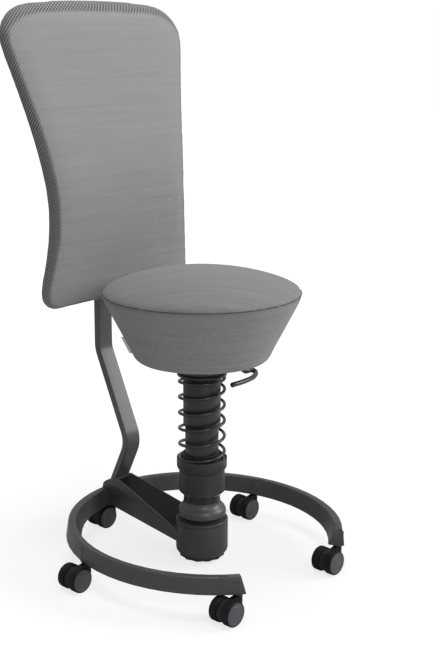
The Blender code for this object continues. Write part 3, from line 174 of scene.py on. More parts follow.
def coated(name, colour, roughness, tooth=0.05, grain=900.0, metallic=0.0, cloud=0.12, shine=0.5):
    """A coat with slow changes of tone and a fine tooth: colour, roughness and bump from noise."""
    material = bpy.data.materials.new(name)
    material.use_nodes = True
    tree = material.node_tree
    where = add_node(tree, "ShaderNodeTexCoord")
    slow = add_node(tree, "ShaderNodeTexNoise", {
        "Vector": where.outputs["Object"], "Scale": CLOUD_SCALE, "Detail": 4.0})
    tone = add_node(tree, "ShaderNodeValToRGB", {"Fac": slow.outputs["Fac"]})
    tone.color_ramp.elements[0].position = 0.3
    tone.color_ramp.elements[1].position = 0.7
    tone.color_ramp.elements[0].color = (*[c * (1 - cloud) for c in colour], 1)
    tone.color_ramp.elements[1].color = (*[min(1.0, c * (1 + cloud)) for c in colour], 1)
    fine = add_node(tree, "ShaderNodeTexNoise", {
        "Vector": where.outputs["Object"], "Scale": grain, "Detail": 2.0})
    gloss = add_node(tree, "ShaderNodeMapRange", {
        "Value": fine.outputs["Fac"], "To Min": roughness - GLOSS_SPREAD,
        "To Max": roughness + GLOSS_SPREAD})
    bump = add_node(tree, "ShaderNodeBump", {
        "Height": fine.outputs["Fac"], "Strength": tooth, "Distance": TOOTH_HEIGHT})
    feed(tree, tree.nodes["Principled BSDF"], {
        "Base Color": tone.outputs["Color"], "Roughness": gloss.outputs["Result"],
        "Normal": bump.outputs["Normal"], "Metallic": metallic, "Specular IOR Level": shine})
    return material


def pick(piece):
    """Makes a piece the active object and the only one selected."""
    bpy.ops.object.select_all(action="DESELECT")
    piece.select_set(True)
    bpy.context.view_layer.objects.active = piece


def bevel(piece, width, segments, angle):
    """Rounds a picked piece's edges where they are sharper than an angle."""
    eased = piece.modifiers.new("eased_edges", "BEVEL")
    eased.width = width
    eased.segments = segments
    eased.limit_method = "ANGLE"
    eased.angle_limit = math.radians(angle)
    bpy.ops.object.modifier_apply(modifier=eased.name)


def smooth_twin(name, node, angle, edge=0.0, segments=2):
    """A merged copy of a CAD node with its edges eased, in place of the node."""
    twin = bpy.data.objects.new(name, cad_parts[node].data.copy())
    scene.collection.objects.link(twin)
    twin.data.materials.clear()
    pick(twin)
    bpy.ops.object.mode_set(mode="EDIT")
    bpy.ops.mesh.select_all(action="SELECT")
    bpy.ops.mesh.remove_doubles(threshold=MERGE_DISTANCE)
    if edge:
        bpy.ops.mesh.dissolve_limited(angle_limit=FLAT_ANGLE)
    bpy.ops.object.mode_set(mode="OBJECT")
    if edge:
        bevel(twin, edge, segments, angle)
    bpy.ops.object.shade_smooth_by_angle(angle=math.radians(angle))
    flats = twin.modifiers.new("flats", "WEIGHTED_NORMAL")
    flats.keep_sharp = True
    bpy.ops.object.modifier_apply(modifier=flats.name)
    return twin


def fit(piece, material, body, slot, *nodes):
    """Finishes a piece: its coat, the body it moves with and the nodes it stands for; slot is not
    used.
    """
    piece.data.materials.clear()
    piece.data.materials.append(material)
    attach(piece, body)
    if nodes:
        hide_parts(*nodes)


ring_coat = coated("ring_coat", (0.042, 0.042, 0.042), 0.44, tooth=0.06)
fit(smooth_twin("open_ring", "base_ring", 24), ring_coat, "base", "ring_paint", "base_ring")


# The rear beam: a folded steel channel, narrow at the ring and as wide as the joint's barrel in
# front, with a near-black plastic strip let into its top.
beam = smooth_twin("folded_beam", "rear_beam", 24)
fit(beam, ring_coat, "base", "ring_paint", "rear_beam")
strip_black = coated("strip_black", (0.0035, 0.0042, 0.0060), 0.55, tooth=0.06, grain=1400.0,
                     shine=0.12)
strip = smooth_twin("beam_strip", "beam_cover", 30, edge=0.0006)
fit(strip, strip_black, "base", "black_plastic", "beam_cover")


# The mast: a flat steel bar with rolled edges, bent twice so that it leans in over the beam and
# stands up behind the backrest. Satin coat, a little smoother than the ring's.
mast_coat = coated("mast_coat", (0.042, 0.044, 0.050), 0.42, tooth=0.05, shine=0.78)
fit(smooth_twin("bent_mast", "mast", 24), mast_coat, "base", "mast_paint", "mast")


# The swing joint: a turned barrel with a groove under its rim, a necked rubber gaiter, a dome that
# hangs over it and coves up into the neck, and a fluted knob below.
def turn_up(name, profile, centre, axis="Z", segments=96, ring=True):
    """Draws a circle along a profile of (radius, distance along the axis) and closes it."""
    bpy.ops.object.select_all(action="DESELECT")
    radius, along = profile[0]
    lie = (math.pi / 2, 0, 0) if axis == "Y" else (0, 0, 0)
    way = Vector((0, 1, 0)) if axis == "Y" else Vector((0, 0, 1))
    bpy.ops.mesh.primitive_circle_add(vertices=segments, radius=radius, rotation=lie,
                                      location=Vector(centre) + way * along)
    piece = bpy.context.object
    piece.name = name
    bpy.ops.object.transform_apply(location=True, rotation=True, scale=True)
    bpy.ops.object.mode_set(mode="EDIT")
    bpy.ops.mesh.select_all(action="SELECT")
    for next_radius, next_along in profile[1:]:
        step = way * (next_along - along)
        bpy.ops.mesh.extrude_region_move(TRANSFORM_OT_translate={"value": step})
        grow = next_radius / radius
        bpy.ops.transform.resize(value=(grow, 1, grow) if axis == "Y" else (grow, grow, 1),
                                 center_override=Vector(centre) + way * next_along)
        radius, along = next_radius, next_along
    bpy.ops.mesh.select_all(action="DESELECT")
    bpy.ops.mesh.select_non_manifold(extend=False)
    if ring:
        bpy.ops.mesh.bridge_edge_loops()
    else:
        bpy.ops.mesh.fill_holes(sides=0)
    bpy.ops.mesh.select_all(action="SELECT")
    bpy.ops.mesh.normals_make_consistent(inside=False)
    bpy.ops.object.mode_set(mode="OBJECT")
    return piece


def ease(piece, width, angle=25):
    """Rounds a piece's sharp edges, if given a width, and shades it smooth."""
    pick(piece)
    if width:
        bevel(piece, width, 2, angle)
    bpy.ops.object.shade_smooth_by_angle(angle=math.radians(angle))
    return piece


def levels(node):
    """A node's lowest and highest z."""
    low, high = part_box(node)
    return low[2], high[2]


def half_width(node):
    """Half of a node's width along x."""
    low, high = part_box(node)
    return (high[0] - low[0]) / 2


AXIS = (AXIS_X, AXIS_Y, 0)
SLIP = 0.0004
STUD_BORE = 0.0068
GROOVE_DEPTH = 0.0014
barrel_bottom, barrel_top = levels("joint_barrel")
barrel_radius = half_width("joint_barrel")
barrel_floor = barrel_bottom + 0.006
collar_line = barrel_top - 0.0058
barrel = turn_up("joint_barrel_turned", [
    (STUD_BORE, barrel_bottom), (barrel_radius - 0.0075, barrel_bottom),
    (barrel_radius - 0.0035, barrel_bottom + 0.0016),
    (barrel_radius - 0.001, barrel_bottom + 0.0050), (barrel_radius, barrel_bottom + 0.0095),
    (barrel_radius, collar_line - 0.0006), (barrel_radius - GROOVE_DEPTH, collar_line - 0.0004),
    (barrel_radius - GROOVE_DEPTH, collar_line + 0.0004), (barrel_radius, collar_line + 0.0006),
    (barrel_radius, barrel_top - 0.0016), (barrel_radius - 0.0012, barrel_top),
    (barrel_radius - 0.0068, barrel_top), (barrel_radius - 0.0070, barrel_floor),
    (STUD_BORE, barrel_floor)], AXIS)
barrel_coat = coated("barrel_coat", (0.034, 0.034, 0.034), 0.45, tooth=0.10)
fit(ease(barrel, 0.0007), barrel_coat, "base", "ring_paint", "joint_barrel")

gaiter_rubber = coated("gaiter_rubber", (0.008, 0.008, 0.009), 0.70, tooth=0.15, grain=1600.0)
GAITER_NECK = 0.0432
GAITER_WALL = 0.007
gaiter_low, gaiter_high = levels("rubber_gaiter")
gaiter_radius = half_width("rubber_gaiter")
gaiter = turn_up("swing_gaiter", [
    (GAITER_NECK - GAITER_WALL, gaiter_low), (gaiter_radius - 0.0004, gaiter_low),
    (gaiter_radius, gaiter_low + 0.0004), (gaiter_radius - 0.0004, gaiter_low + 0.0010),
    (GAITER_NECK + 0.0012, gaiter_low + 0.0016), (GAITER_NECK - 0.0012, gaiter_low + 0.0034),
    (GAITER_NECK - 0.0002, gaiter_low + 0.0052), (GAITER_NECK - 0.0012, gaiter_low + 0.0070),
    (GAITER_NECK, gaiter_high - 0.0008), (GAITER_NECK - 0.0008, gaiter_high),
    (GAITER_NECK - GAITER_WALL, gaiter_high)], AXIS)
gaiter = ease(gaiter, 0.0, angle=60)
gaiter.data.materials.append(gaiter_rubber)
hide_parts("rubber_gaiter")
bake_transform(gaiter)

DOME_BORE = 0.010
DOME_HUB = 0.030
SKIRT_SHARE = 0.25
ARC_STEPS, ARC_STEP = 10, math.radians(6.5)
COVE_STEPS, COVE_RISE = 8, 0.002
dome_low, dome_high = levels("joint_dome")
dome_radius = half_width("joint_dome")
neck_radius = half_width("neck_tube")
dome_rise = dome_high - dome_low
dome_middle = dome_low + 0.5 * dome_rise
hollow_top = dome_low + 0.0068
shoulder = neck_radius + SLIP
skirt = dome_radius - 0.0022
dome_profile = [(DOME_BORE, dome_low), (DOME_HUB, dome_low), (DOME_HUB, hollow_top),
                (skirt, hollow_top), (skirt, dome_low), (dome_radius - 0.0006, dome_low),
                (dome_radius, dome_low + 0.0006)]
for step in range(ARC_STEPS):
    angle = ARC_STEP * step
    rise_share = SKIRT_SHARE + (1 - SKIRT_SHARE) * math.sin(angle)
    dome_profile.append((shoulder + (dome_radius - shoulder) * math.cos(angle),
                         dome_low + dome_rise * rise_share))
(last_radius, last_z), (cove_radius, cove_low) = dome_profile[-2:]
cove_slope = 2 * (cove_radius - shoulder) * (cove_low - last_z) / (last_radius - cove_radius)
for step in range(1, COVE_STEPS + 1):
    share = step / COVE_STEPS
    dome_profile.append((shoulder + (cove_radius - shoulder) * (1 - share) ** 2,
                         cove_low + cove_slope * share + COVE_RISE * share ** 2))
dome_profile += [(shoulder, dome_middle), (DOME_BORE, dome_middle)]
dome = turn_up("swing_dome", dome_profile, AXIS)
# The dome's colour is partly its dark coat and partly painted highlight: lighter and warmer than
# the rest of the column, standing in for the broad highlight on the dome.
dome_coat_painted_highlight = coated("dome_coat_painted_highlight", (0.040, 0.039, 0.034), 0.42, tooth=0.04, shine=0.7)
fit(ease(dome, 0.0), dome_coat_painted_highlight, "strut", "column_black", "joint_dome")

knob_plastic = coated("knob_plastic", (0.014, 0.014, 0.015), 0.55, tooth=0.12, grain=1200.0)
knob = smooth_twin("swing_setting_knob", "swing_knob", 40, edge=0.0005, segments=1)
fit(knob, knob_plastic, "swing_knob", "black_plastic", "swing_knob")


# The column's lower half: the neck, a wide sleeve with a parting line near its top and a polished
# lower edge, the cup that the spring stands in, the inner guide tube and the ribbed bump stop.
NECK_WALL = 0.0028
column_black = coated("column_black", (0.009, 0.009, 0.009), 0.36, tooth=0.05, shine=0.4)
neck_low, neck_high = levels("neck_tube")
neck = turn_up("column_neck", [
    (neck_radius, neck_low), (neck_radius, neck_high),
    (neck_radius - NECK_WALL, neck_high), (neck_radius - NECK_WALL, neck_low)], AXIS)
fit(ease(neck, 0.0003), column_black, "strut", "column_black", "neck_tube")

CHAMFER = 0.0042
sleeve_black = coated("sleeve_black", (0.013, 0.013, 0.013), 0.42, tooth=0.10, grain=1100.0)
polished_edge = coated("polished_edge", (0.90, 0.90, 0.90), 0.12, tooth=0.01, metallic=1.0)
sleeve_low, sleeve_high = levels("column_sleeve")
sleeve_radius = half_width("column_sleeve")
parting = sleeve_high - 0.0035
sleeve = turn_up("column_sleeve_moulded", [
    (neck_radius + SLIP, sleeve_low), (sleeve_radius - CHAMFER, sleeve_low),
    (sleeve_radius, sleeve_low + CHAMFER), (sleeve_radius, parting - 0.0006),
    (sleeve_radius - 0.0008, parting), (sleeve_radius, parting + 0.0006),
    (sleeve_radius, sleeve_high - 0.0006), (sleeve_radius - 0.0006, sleeve_high),
    (neck_radius + SLIP, sleeve_high)], AXIS)
fit(ease(sleeve, 0.0), sleeve_black, "strut", "column_black", "column_sleeve")
sleeve.data.materials.append(polished_edge)
for face in sleeve.data.polygons:
    in_chamfer = sleeve_low < face.center.z - 0.0002 < sleeve_low + CHAMFER
    face.material_index = 1 if in_chamfer and face.normal.z < -0.3 else 0

CUP_WALL = 0.0018
cup_low, cup_high = levels("spring_cup")
cup_radius = half_width("spring_cup")
guide_radius = half_width("lower_tube")
spring_low, spring_high = levels("main_spring")
cup_floor = spring_low - 0.0004
cup = turn_up("spring_cup_moulded", [
    (guide_radius + SLIP, cup_low), (cup_radius - 0.0040, cup_low),
    (cup_radius - 0.0012, cup_low + 0.0012), (cup_radius, cup_low + 0.0040),
    (cup_radius, cup_high - 0.0006), (cup_radius - 0.0005, cup_high),
    (cup_radius - 0.0013, cup_high), (cup_radius - CUP_WALL, cup_high - 0.0006),
    (cup_radius - CUP_WALL, cup_floor), (guide_radius + SLIP, cup_floor)], AXIS)
fit(ease(cup, 0.0), sleeve_black, "strut", "column_black", "spring_cup")

GUIDE_WALL = 0.003
guide_low, guide_high = levels("lower_tube")
guide = turn_up("inner_guide_tube", [
    (guide_radius, guide_low), (guide_radius, guide_high),
    (guide_radius - GUIDE_WALL, guide_high), (guide_radius - GUIDE_WALL, guide_low)], AXIS)
guide_coat = coated("guide_coat", (0.012, 0.012, 0.012), 0.38, tooth=0.04)
fit(ease(guide, 0.0005), guide_coat, "strut", "column_black", "lower_tube")

FOLDS = 4
FOLD_TAPER = 0.0003
stop_low, stop_high = levels("bump_stop")
stop_radius = half_width("bump_stop")
stop_profile = [(guide_radius + SLIP, stop_low), (stop_radius, stop_low)]
for fold in range(FOLDS):
    base = stop_low + (stop_high - stop_low) * (fold + 0.2) / (FOLDS + 0.2)
    taper = FOLD_TAPER * fold
    stop_profile += [(stop_radius - 0.0006 - taper, base),
                     (stop_radius - 0.0024 - taper, base + 0.0014),
                     (stop_radius - 0.0010 - taper, base + 0.0030)]
stop_profile.append((guide_radius + SLIP, stop_high))
stop = turn_up("bump_stop_ribbed", stop_profile, AXIS)
fit(ease(stop, 0.0), gaiter_rubber, "strut", "rubber", "bump_stop")


# The column's upper half, which the spring carries: the outer guide tube and the plate that the
# spring pushes up against, on its tapered collar.
GUIDE_SLIP = 0.0006
upper_low, upper_high = levels("upper_tube")
upper_radius = half_width("upper_tube")
upper = turn_up("outer_guide_tube", [
    (guide_radius + GUIDE_SLIP, upper_low), (upper_radius - 0.0016, upper_low),
    (upper_radius - 0.0004, upper_low + 0.0005), (upper_radius, upper_low + 0.0018),
    (upper_radius, upper_high), (guide_radius + GUIDE_SLIP, upper_high)], AXIS)
fit(ease(upper, 0.0003), guide_coat, "carriage", "column_black", "upper_tube")

COLLAR_RADIUS = 0.0422
plate_low, plate_high = levels("spring_plate")
plate_radius = half_width("spring_plate")
plate_face = plate_high - 0.0065
stand_radius = half_width("stand_tube")
plate = turn_up("spring_plate_turned", [
    (stand_radius + SLIP, plate_low), (upper_radius, plate_low), (COLLAR_RADIUS, plate_face),
    (plate_radius - 0.0006, plate_face), (plate_radius, plate_face + 0.0008),
    (plate_radius, plate_high - 0.0012), (plate_radius - 0.0010, plate_high),
    (stand_radius + SLIP, plate_high)], AXIS)
fit(ease(plate, 0.0003), column_black, "carriage", "column_black", "spring_plate")


# The main spring: one length of round steel wire wound to the right, its end turns lying flat on
# the cup and the plate. Coated black with a soft shine.
WIRE_RADIUS = 0.0033
END_TURNS = 0.75
OPEN_TURNS = 5.0
STEPS_PER_TURN = 40
wire_orbit = half_width("main_spring") - WIRE_RADIUS
wire_low, wire_high = spring_low + WIRE_RADIUS, spring_high - WIRE_RADIUS
settle = 2.4 * WIRE_RADIUS
climb = wire_high - wire_low - 2 * settle * END_TURNS
all_turns = OPEN_TURNS + 2 * END_TURNS
wire_steps = int(all_turns * STEPS_PER_TURN)
wire_points = []
for step in range(wire_steps + 1):
    turn = all_turns * step / wire_steps
    if turn < END_TURNS:
        height = wire_low + settle * turn
    elif turn > all_turns - END_TURNS:
        height = wire_high - settle * (all_turns - turn)
    else:
        height = wire_low + settle * END_TURNS + climb * (turn - END_TURNS) / OPEN_TURNS
    angle = math.tau * turn - math.pi / 2
    wire_points.append((AXIS_X + wire_orbit * math.cos(angle),
                        AXIS_Y + wire_orbit * math.sin(angle), height))


def drawn_wire(name, points, radius):
    """A round wire along points, as a mesh with closed ends."""
    line = bpy.data.curves.new(name, "CURVE")
    line.dimensions = "3D"
    spline = line.splines.new("POLY")
    spline.points.add(len(points) - 1)
    for point, place in zip(spline.points, points):
        point.co = (*place, 1)
    line.bevel_depth = radius
    line.bevel_resolution = 3
    line.use_fill_caps = True
    wire = bpy.data.objects.new(name, line)
    scene.collection.objects.link(wire)
    pick(wire)
    bpy.ops.object.convert(target="MESH")
    wire = bpy.context.object
    wire.name = name
    bpy.ops.object.mode_set(mode="EDIT")
    bpy.ops.mesh.select_all(action="SELECT")
    bpy.ops.mesh.remove_doubles(threshold=0.00001)
    bpy.ops.mesh.normals_make_consistent(inside=False)
    bpy.ops.object.mode_set(mode="OBJECT")
    bpy.ops.object.shade_smooth_by_angle(angle=math.radians(50))
    return wire


coil = drawn_wire("coil_spring", wire_points, WIRE_RADIUS)
wire_coat = coated("wire_coat", (0.018, 0.018, 0.018), 0.28, tooth=0.03)
fit(coil, wire_coat, "strut", "spring_black", "main_spring")
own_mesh(coil)


# The gas lift inside the column: bright steel cylinder, rod, tubes and bearings. Mostly hidden, and
# the cylinder shows between the plate and the seat when the seat is raised.
ROD_BORE = 0.0053
BUTTON_BORE = 0.0041
VALVE_BORE = 0.0035
bright_steel = coated("bright_steel", (0.50, 0.50, 0.51), 0.24, tooth=0.02, grain=2200.0,
                      metallic=1.0, cloud=0.05)
lift_low, lift_high = levels("gas_cylinder")
lift_radius = half_width("gas_cylinder")
lift_bore = lift_radius - 0.0018
lift = turn_up("lift_cylinder", [
    (ROD_BORE, lift_low), (lift_radius - 0.001, lift_low), (lift_radius, lift_low + 0.001),
    (lift_radius, lift_high - 0.001), (lift_radius - 0.001, lift_high), (BUTTON_BORE, lift_high),
    (BUTTON_BORE, lift_high - 0.012), (VALVE_BORE, lift_high - 0.0125),
    (VALVE_BORE, lift_high - 0.017), (lift_bore, lift_high - 0.017),
    (lift_bore, lift_low + 0.005), (ROD_BORE, lift_low + 0.005)], AXIS, segments=64)
fit(ease(lift, 0.0), bright_steel, "seat", "steel", "gas_cylinder")


def dress(material, *nodes):
    """Gives CAD nodes that keep their own shape a better finish."""
    for node in nodes:
        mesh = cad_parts[node].data
        mesh.materials.clear()
        mesh.materials.append(material)


dress(bright_steel, "ball_stem", "stand_tube", "thrust_bearing", "piston_rod", "valve_button",
      "lever_pin", "seat_screw_1", "seat_screw_2", "seat_screw_3", "seat_screw_4")
dress(gaiter_rubber, "swing_bush")
dress(knob_plastic, "guide_bush")


# Under the seat: a pressed steel pan bolted to a plywood board, with the folded bracket that
# carries the lever. The board's grain runs fore and aft.
pan_coat = coated("pan_coat", (0.014, 0.014, 0.014), 0.45, tooth=0.05)
pan = smooth_twin("seat_pan_pressed", "seat_pan", 30, edge=0.0008)
fit(pan, pan_coat, "seat", "column_black", "seat_pan")
bracket = smooth_twin("lever_bracket_folded", "lever_bracket", 30, edge=0.0006)
fit(bracket, pan_coat, "seat", "black_plastic", "lever_bracket")
plywood = bpy.data.materials.new("birch_plywood")
plywood.use_nodes = True
wood = plywood.node_tree
grain_place = add_node(wood, "ShaderNodeTexCoord")
grain_map = add_node(wood, "ShaderNodeMapping", {
    "Vector": grain_place.outputs["Object"], "Scale": (90, 6, 320)})
grain = add_node(wood, "ShaderNodeTexNoise", {
    "Vector": grain_map.outputs["Vector"], "Scale": 1.0, "Detail": 6.0})
grain_tone = add_node(wood, "ShaderNodeValToRGB", {"Fac": grain.outputs["Fac"]})
grain_tone.color_ramp.elements[0].color = (0.36, 0.23, 0.12, 1)
grain_tone.color_ramp.elements[1].color = (0.62, 0.46, 0.28, 1)
feed(wood, wood.nodes["Principled BSDF"], {
    "Base Color": grain_tone.outputs["Color"], "Roughness": 0.7})
dress(plywood, "seat_board")


# The height lever: one bent steel rod, black, that runs out from over the valve, through the pan's
# slot, down and round into a handle under the seat's front edge.
lever = smooth_twin("height_lever", "release_lever", 50)
fit(lever, wire_coat, "lever", "spring_black", "release_lever")


# The seat: a firm round cushion in grey spacer knit. The cover is one top and one tapering side,
# sewn together at the rim, stretched over the foam and drawn under at the bottom.
ROW_STREAKS = (5, 110, 1)
STREAK_GAIN, STREAK_BASE = 1.6, -0.80
DOT_HEIGHT = 0.0006
FILL_FRAMES = 20
BAND_START, BAND_BLEND = 0.38, 0.24


def knit(name, dot_tone, ground_tone, pitch, side_tones=(1.0, 1.0)):
    """Spacer knit: raised dots of light thread in a staggered grid over a darker ground."""
    material = bpy.data.materials.new(name)
    material.use_nodes = True
    tree = material.node_tree
    cloth = add_node(tree, "ShaderNodeAttribute")
    cloth.attribute_name = "cloth"
    split = add_node(tree, "ShaderNodeSeparateXYZ", {0: cloth.outputs["Vector"]})
    ripples = []
    for axis in ("X", "Y"):
        spread = add_node(tree, "ShaderNodeMath", {
            0: split.outputs[axis], 1: math.tau / pitch}, "MULTIPLY")
        ripples.append(add_node(tree, "ShaderNodeMath", {0: spread.outputs[0]}, "COSINE"))
    total = add_node(tree, "ShaderNodeMath", {
        0: ripples[0].outputs[0], 1: ripples[1].outputs[0]}, "MULTIPLY")
    dots = add_node(tree, "ShaderNodeMapRange", {
        "Value": total.outputs[0], "From Min": -0.9, "From Max": 0.6})
    along = add_node(tree, "ShaderNodeMapping", {
        "Vector": cloth.outputs["Vector"], "Scale": ROW_STREAKS})
    slow = add_node(tree, "ShaderNodeTexNoise", {
        "Vector": along.outputs["Vector"], "Scale": 1.0, "Detail": 3.0})
    drift = add_node(tree, "ShaderNodeMath", {
        0: slow.outputs["Fac"], 1: STREAK_GAIN, 2: STREAK_BASE}, "MULTIPLY_ADD")
    weave = add_node(tree, "ShaderNodeMath", {
        0: dots.outputs["Result"], 1: drift.outputs[0]}, "ADD")
    tone = add_node(tree, "ShaderNodeValToRGB", {"Fac": weave.outputs[0]})
    tone.color_ramp.elements[0].color = (*ground_tone, 1)
    tone.color_ramp.elements[1].color = (*dot_tone, 1)
    band = add_node(tree, "ShaderNodeAttribute")
    band.attribute_name = "band"
    open_mesh = add_node(tree, "ShaderNodeMapRange", {
        "Value": dots.outputs["Result"], "From Min": 0.3, "From Max": 0.8,
        "To Min": side_tones[0], "To Max": side_tones[1]})
    shade = add_node(tree, "ShaderNodeMix")
    shade.data_type = "RGBA"
    shade.blend_type = "MULTIPLY"
    feed(tree, shade, {"Factor": band.outputs["Fac"], "A": tone.outputs["Color"],
                       "B": open_mesh.outputs["Result"]})
    bump = add_node(tree, "ShaderNodeBump", {
        "Height": dots.outputs["Result"], "Strength": 0.35, "Distance": DOT_HEIGHT})
    feed(tree, tree.nodes["Principled BSDF"], {
        "Base Color": shade.outputs["Result"], "Normal": bump.outputs["Normal"],
        "Roughness": 0.92, "Specular IOR Level": 0.18, "Sheen Weight": 0.12,
        "Sheen Roughness": 0.5})
    return material


def stroke(piece, name, times, group=""):
    """Evens out a picked piece's surface, or one group of its points."""
    stroked = piece.modifiers.new(name, "SMOOTH")
    stroked.factor = 0.5
    stroked.iterations = times
    stroked.vertex_group = group
    bpy.ops.object.modifier_apply(modifier=stroked.name)


def plump(piece, voxel, cap, held):
    """Fills a closed cover with foam: an even mesh, pressed out from inside, save where held."""
    pick(piece)
    even = piece.modifiers.new("even_mesh", "REMESH")
    even.mode = "VOXEL"
    even.voxel_size = voxel
    bpy.ops.object.modifier_apply(modifier=even.name)
    stroke(piece, "settled", 4)
    start = [vertex.co.copy() for vertex in piece.data.vertices]
    group = piece.vertex_groups.new(name="held")
    group.add([v.index for v in piece.data.vertices if held(v.co)], 1.0, "REPLACE")
    cover = piece.modifiers.new("filling", "CLOTH")
    cover.settings.quality = 4
    cover.settings.mass = 0.4
    cover.settings.tension_stiffness = 40
    cover.settings.compression_stiffness = 40
    cover.settings.shear_stiffness = 20
    cover.settings.bending_stiffness = 15
    cover.settings.use_pressure = True
    cover.settings.uniform_pressure_force = 4
    cover.settings.effector_weights.gravity = 0
    cover.settings.vertex_group_mass = group.name
    cover.collision_settings.use_collision = False
    cover.point_cache.frame_start = 1
    cover.point_cache.frame_end = FILL_FRAMES
    for moment in range(1, FILL_FRAMES + 1):
        scene.frame_set(moment)
    bpy.ops.object.modifier_apply(modifier=cover.name)
    scene.frame_set(1)
    for vertex, was in zip(piece.data.vertices, start):
        push = vertex.co - was
        if push.length > cap:
            vertex.co = was + push * (cap / push.length)
    stroke(piece, "calm", 20)
    piece.vertex_groups.clear()
    bpy.ops.object.shade_smooth()


def draw_out(piece, node, axes):
    """Stretches a picked cover back to the width of its CAD node along the named axes."""
    low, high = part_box(node)
    stretch = [1.0, 1.0, 1.0]
    middle = [(low[axis] + high[axis]) / 2 for axis in range(3)]
    for axis in axes:
        reach = [vertex.co[axis] for vertex in piece.data.vertices]
        stretch[axis] = (high[axis] - low[axis]) / (max(reach) - min(reach))
    bpy.ops.object.mode_set(mode="EDIT")
    bpy.ops.mesh.select_all(action="SELECT")
    bpy.ops.transform.resize(value=stretch, center_override=middle)
    bpy.ops.object.mode_set(mode="OBJECT")


def clamped(share):
    """A share, kept between none and all."""
    return max(0.0, min(1.0, share))


def lay_cloth(piece, measure, lie, evened=0):
    """Stores each point's share of the side band, evened if asked, and its place on the cloth."""
    shares = [measure(vertex) for vertex in piece.data.vertices]
    for turn in range(evened):
        totals, counts = shares[:], [1] * len(shares)
        for edge in piece.data.edges:
            a, b = edge.vertices
            totals[a] += shares[b]
            totals[b] += shares[a]
            counts[a] += 1
            counts[b] += 1
        shares = [total / count for total, count in zip(totals, counts)]
    if evened:
        shares = [clamped((share - BAND_START) / BAND_BLEND) for share in shares]
    bands = piece.data.attributes.new("band", "FLOAT", "POINT")
    places = piece.data.attributes.new("cloth", "FLOAT_VECTOR", "POINT")
    for index, vertex in enumerate(piece.data.vertices):
        bands.data[index].value = shares[index]
        places.data[index].vector = (*lie(vertex), 0.0)


VOXEL = 0.005
SEAT_CAP = 0.004
RIM_DROP = 0.051
PULLED_IN = 0.0025
FOOT_RADIUS = 0.1365
FOOT_ROUND, FOOT_RISE = 0.013, 0.012
FOOT_STEPS, SIDE_STEPS, TOP_STEPS = 6, 10, 15
EDGE_IN = 0.0024
SIDE_RADIUS = 0.17
RIM_BLEND = 0.004
seat_low, seat_high = levels("seat_cushion")
seat_radius = half_width("seat_cushion")
rim_z = seat_high - RIM_DROP
board_top = levels("seat_board")[1]
board_hollow = half_width("seat_board") + 0.0015
crown = seat_high - rim_z - 0.011
seat_profile = [(board_hollow, board_top + 0.0006), (board_hollow, seat_low + 0.002),
                (board_hollow + 0.002, seat_low)]
for step in range(FOOT_STEPS):
    angle = math.radians(-90 + 15 * step)
    foot_reach = FOOT_RADIUS - FOOT_ROUND + FOOT_ROUND * math.cos(angle)
    seat_profile.append((foot_reach - 0.3 * PULLED_IN,
                         seat_low + FOOT_RISE + FOOT_RISE * math.sin(angle)))
for step in range(1, SIDE_STEPS):
    share = step / SIDE_STEPS
    seat_profile.append((FOOT_RADIUS + share * (seat_radius - FOOT_RADIUS) - 0.4 * PULLED_IN,
                         seat_low + FOOT_RISE + share * (rim_z - seat_low - FOOT_RISE)))
seat_profile += [(seat_radius - 0.0016, rim_z - 0.003), (seat_radius - 0.0004, rim_z),
                 (seat_radius - EDGE_IN, rim_z + 0.004)]
for step in range(1, TOP_STEPS):
    share = 1 - step / TOP_STEPS
    seat_profile.append(((seat_radius - EDGE_IN) * share,
                         rim_z + 0.005 - PULLED_IN + crown * (1 - share ** 2.2)))
seat = turn_up("seat_cushion_sewn", seat_profile, AXIS, segments=128, ring=False)


def under_seat(place):
    """Whether a place is on the seat's foot or in the hollow for the board."""
    from_axis = math.hypot(place.x - AXIS_X, place.y - AXIS_Y)
    in_hollow = place.z < board_top + 0.012 and from_axis < board_hollow + 0.008
    return place.z < seat_low + FOOT_RISE or in_hollow


def seat_lie(vertex):
    """The top's cloth lies flat, its rows across the view; the side's runs round the cone."""
    x, y = vertex.co.x - AXIS_X, vertex.co.y - AXIS_Y
    if vertex.co.z > rim_z:
        return (x * VIEW_DIRECTION.y - y * VIEW_DIRECTION.x,
                x * VIEW_DIRECTION.x + y * VIEW_DIRECTION.y)
    return SIDE_RADIUS * math.atan2(x, -y), vertex.co.z


plump(seat, VOXEL, SEAT_CAP, under_seat)
draw_out(seat, "seat_cushion", (0, 1))
lay_cloth(seat, lambda vertex: clamped((rim_z - vertex.co.z) / RIM_BLEND), seat_lie)
seat_knit = knit("seat_knit", (0.222, 0.222, 0.222), (0.166, 0.166, 0.166), 0.0060,
                 side_tones=(0.96, 1.16))
fit(seat, seat_knit, "seat", "seat_fabric", "seat_cushion")

SEAM_RADIUS = 0.0013
SEAM_FLATNESS = 0.7
bpy.ops.object.select_all(action="DESELECT")
bpy.ops.mesh.primitive_torus_add(major_segments=180, minor_segments=10,
                                 major_radius=seat_radius - 0.0006, minor_radius=SEAM_RADIUS,
                                 location=(AXIS_X, AXIS_Y, rim_z))
rim_seam = bpy.context.object
rim_seam.name = "seat_rim_seam"
bpy.ops.object.transform_apply(location=True, rotation=True, scale=True)
bpy.ops.object.mode_set(mode="EDIT")
bpy.ops.mesh.select_all(action="SELECT")
bpy.ops.transform.resize(value=(1, 1, SEAM_FLATNESS), center_override=(AXIS_X, AXIS_Y, rim_z))
bpy.ops.object.mode_set(mode="OBJECT")
bpy.ops.object.shade_smooth()
lay_cloth(rim_seam, lambda vertex: 0.0, seat_lie)
seam_thread = knit("seam_thread", (0.075, 0.075, 0.075), (0.035, 0.035, 0.035), 0.0030)
fit(rim_seam, seam_thread, "seat", "seat_fabric")


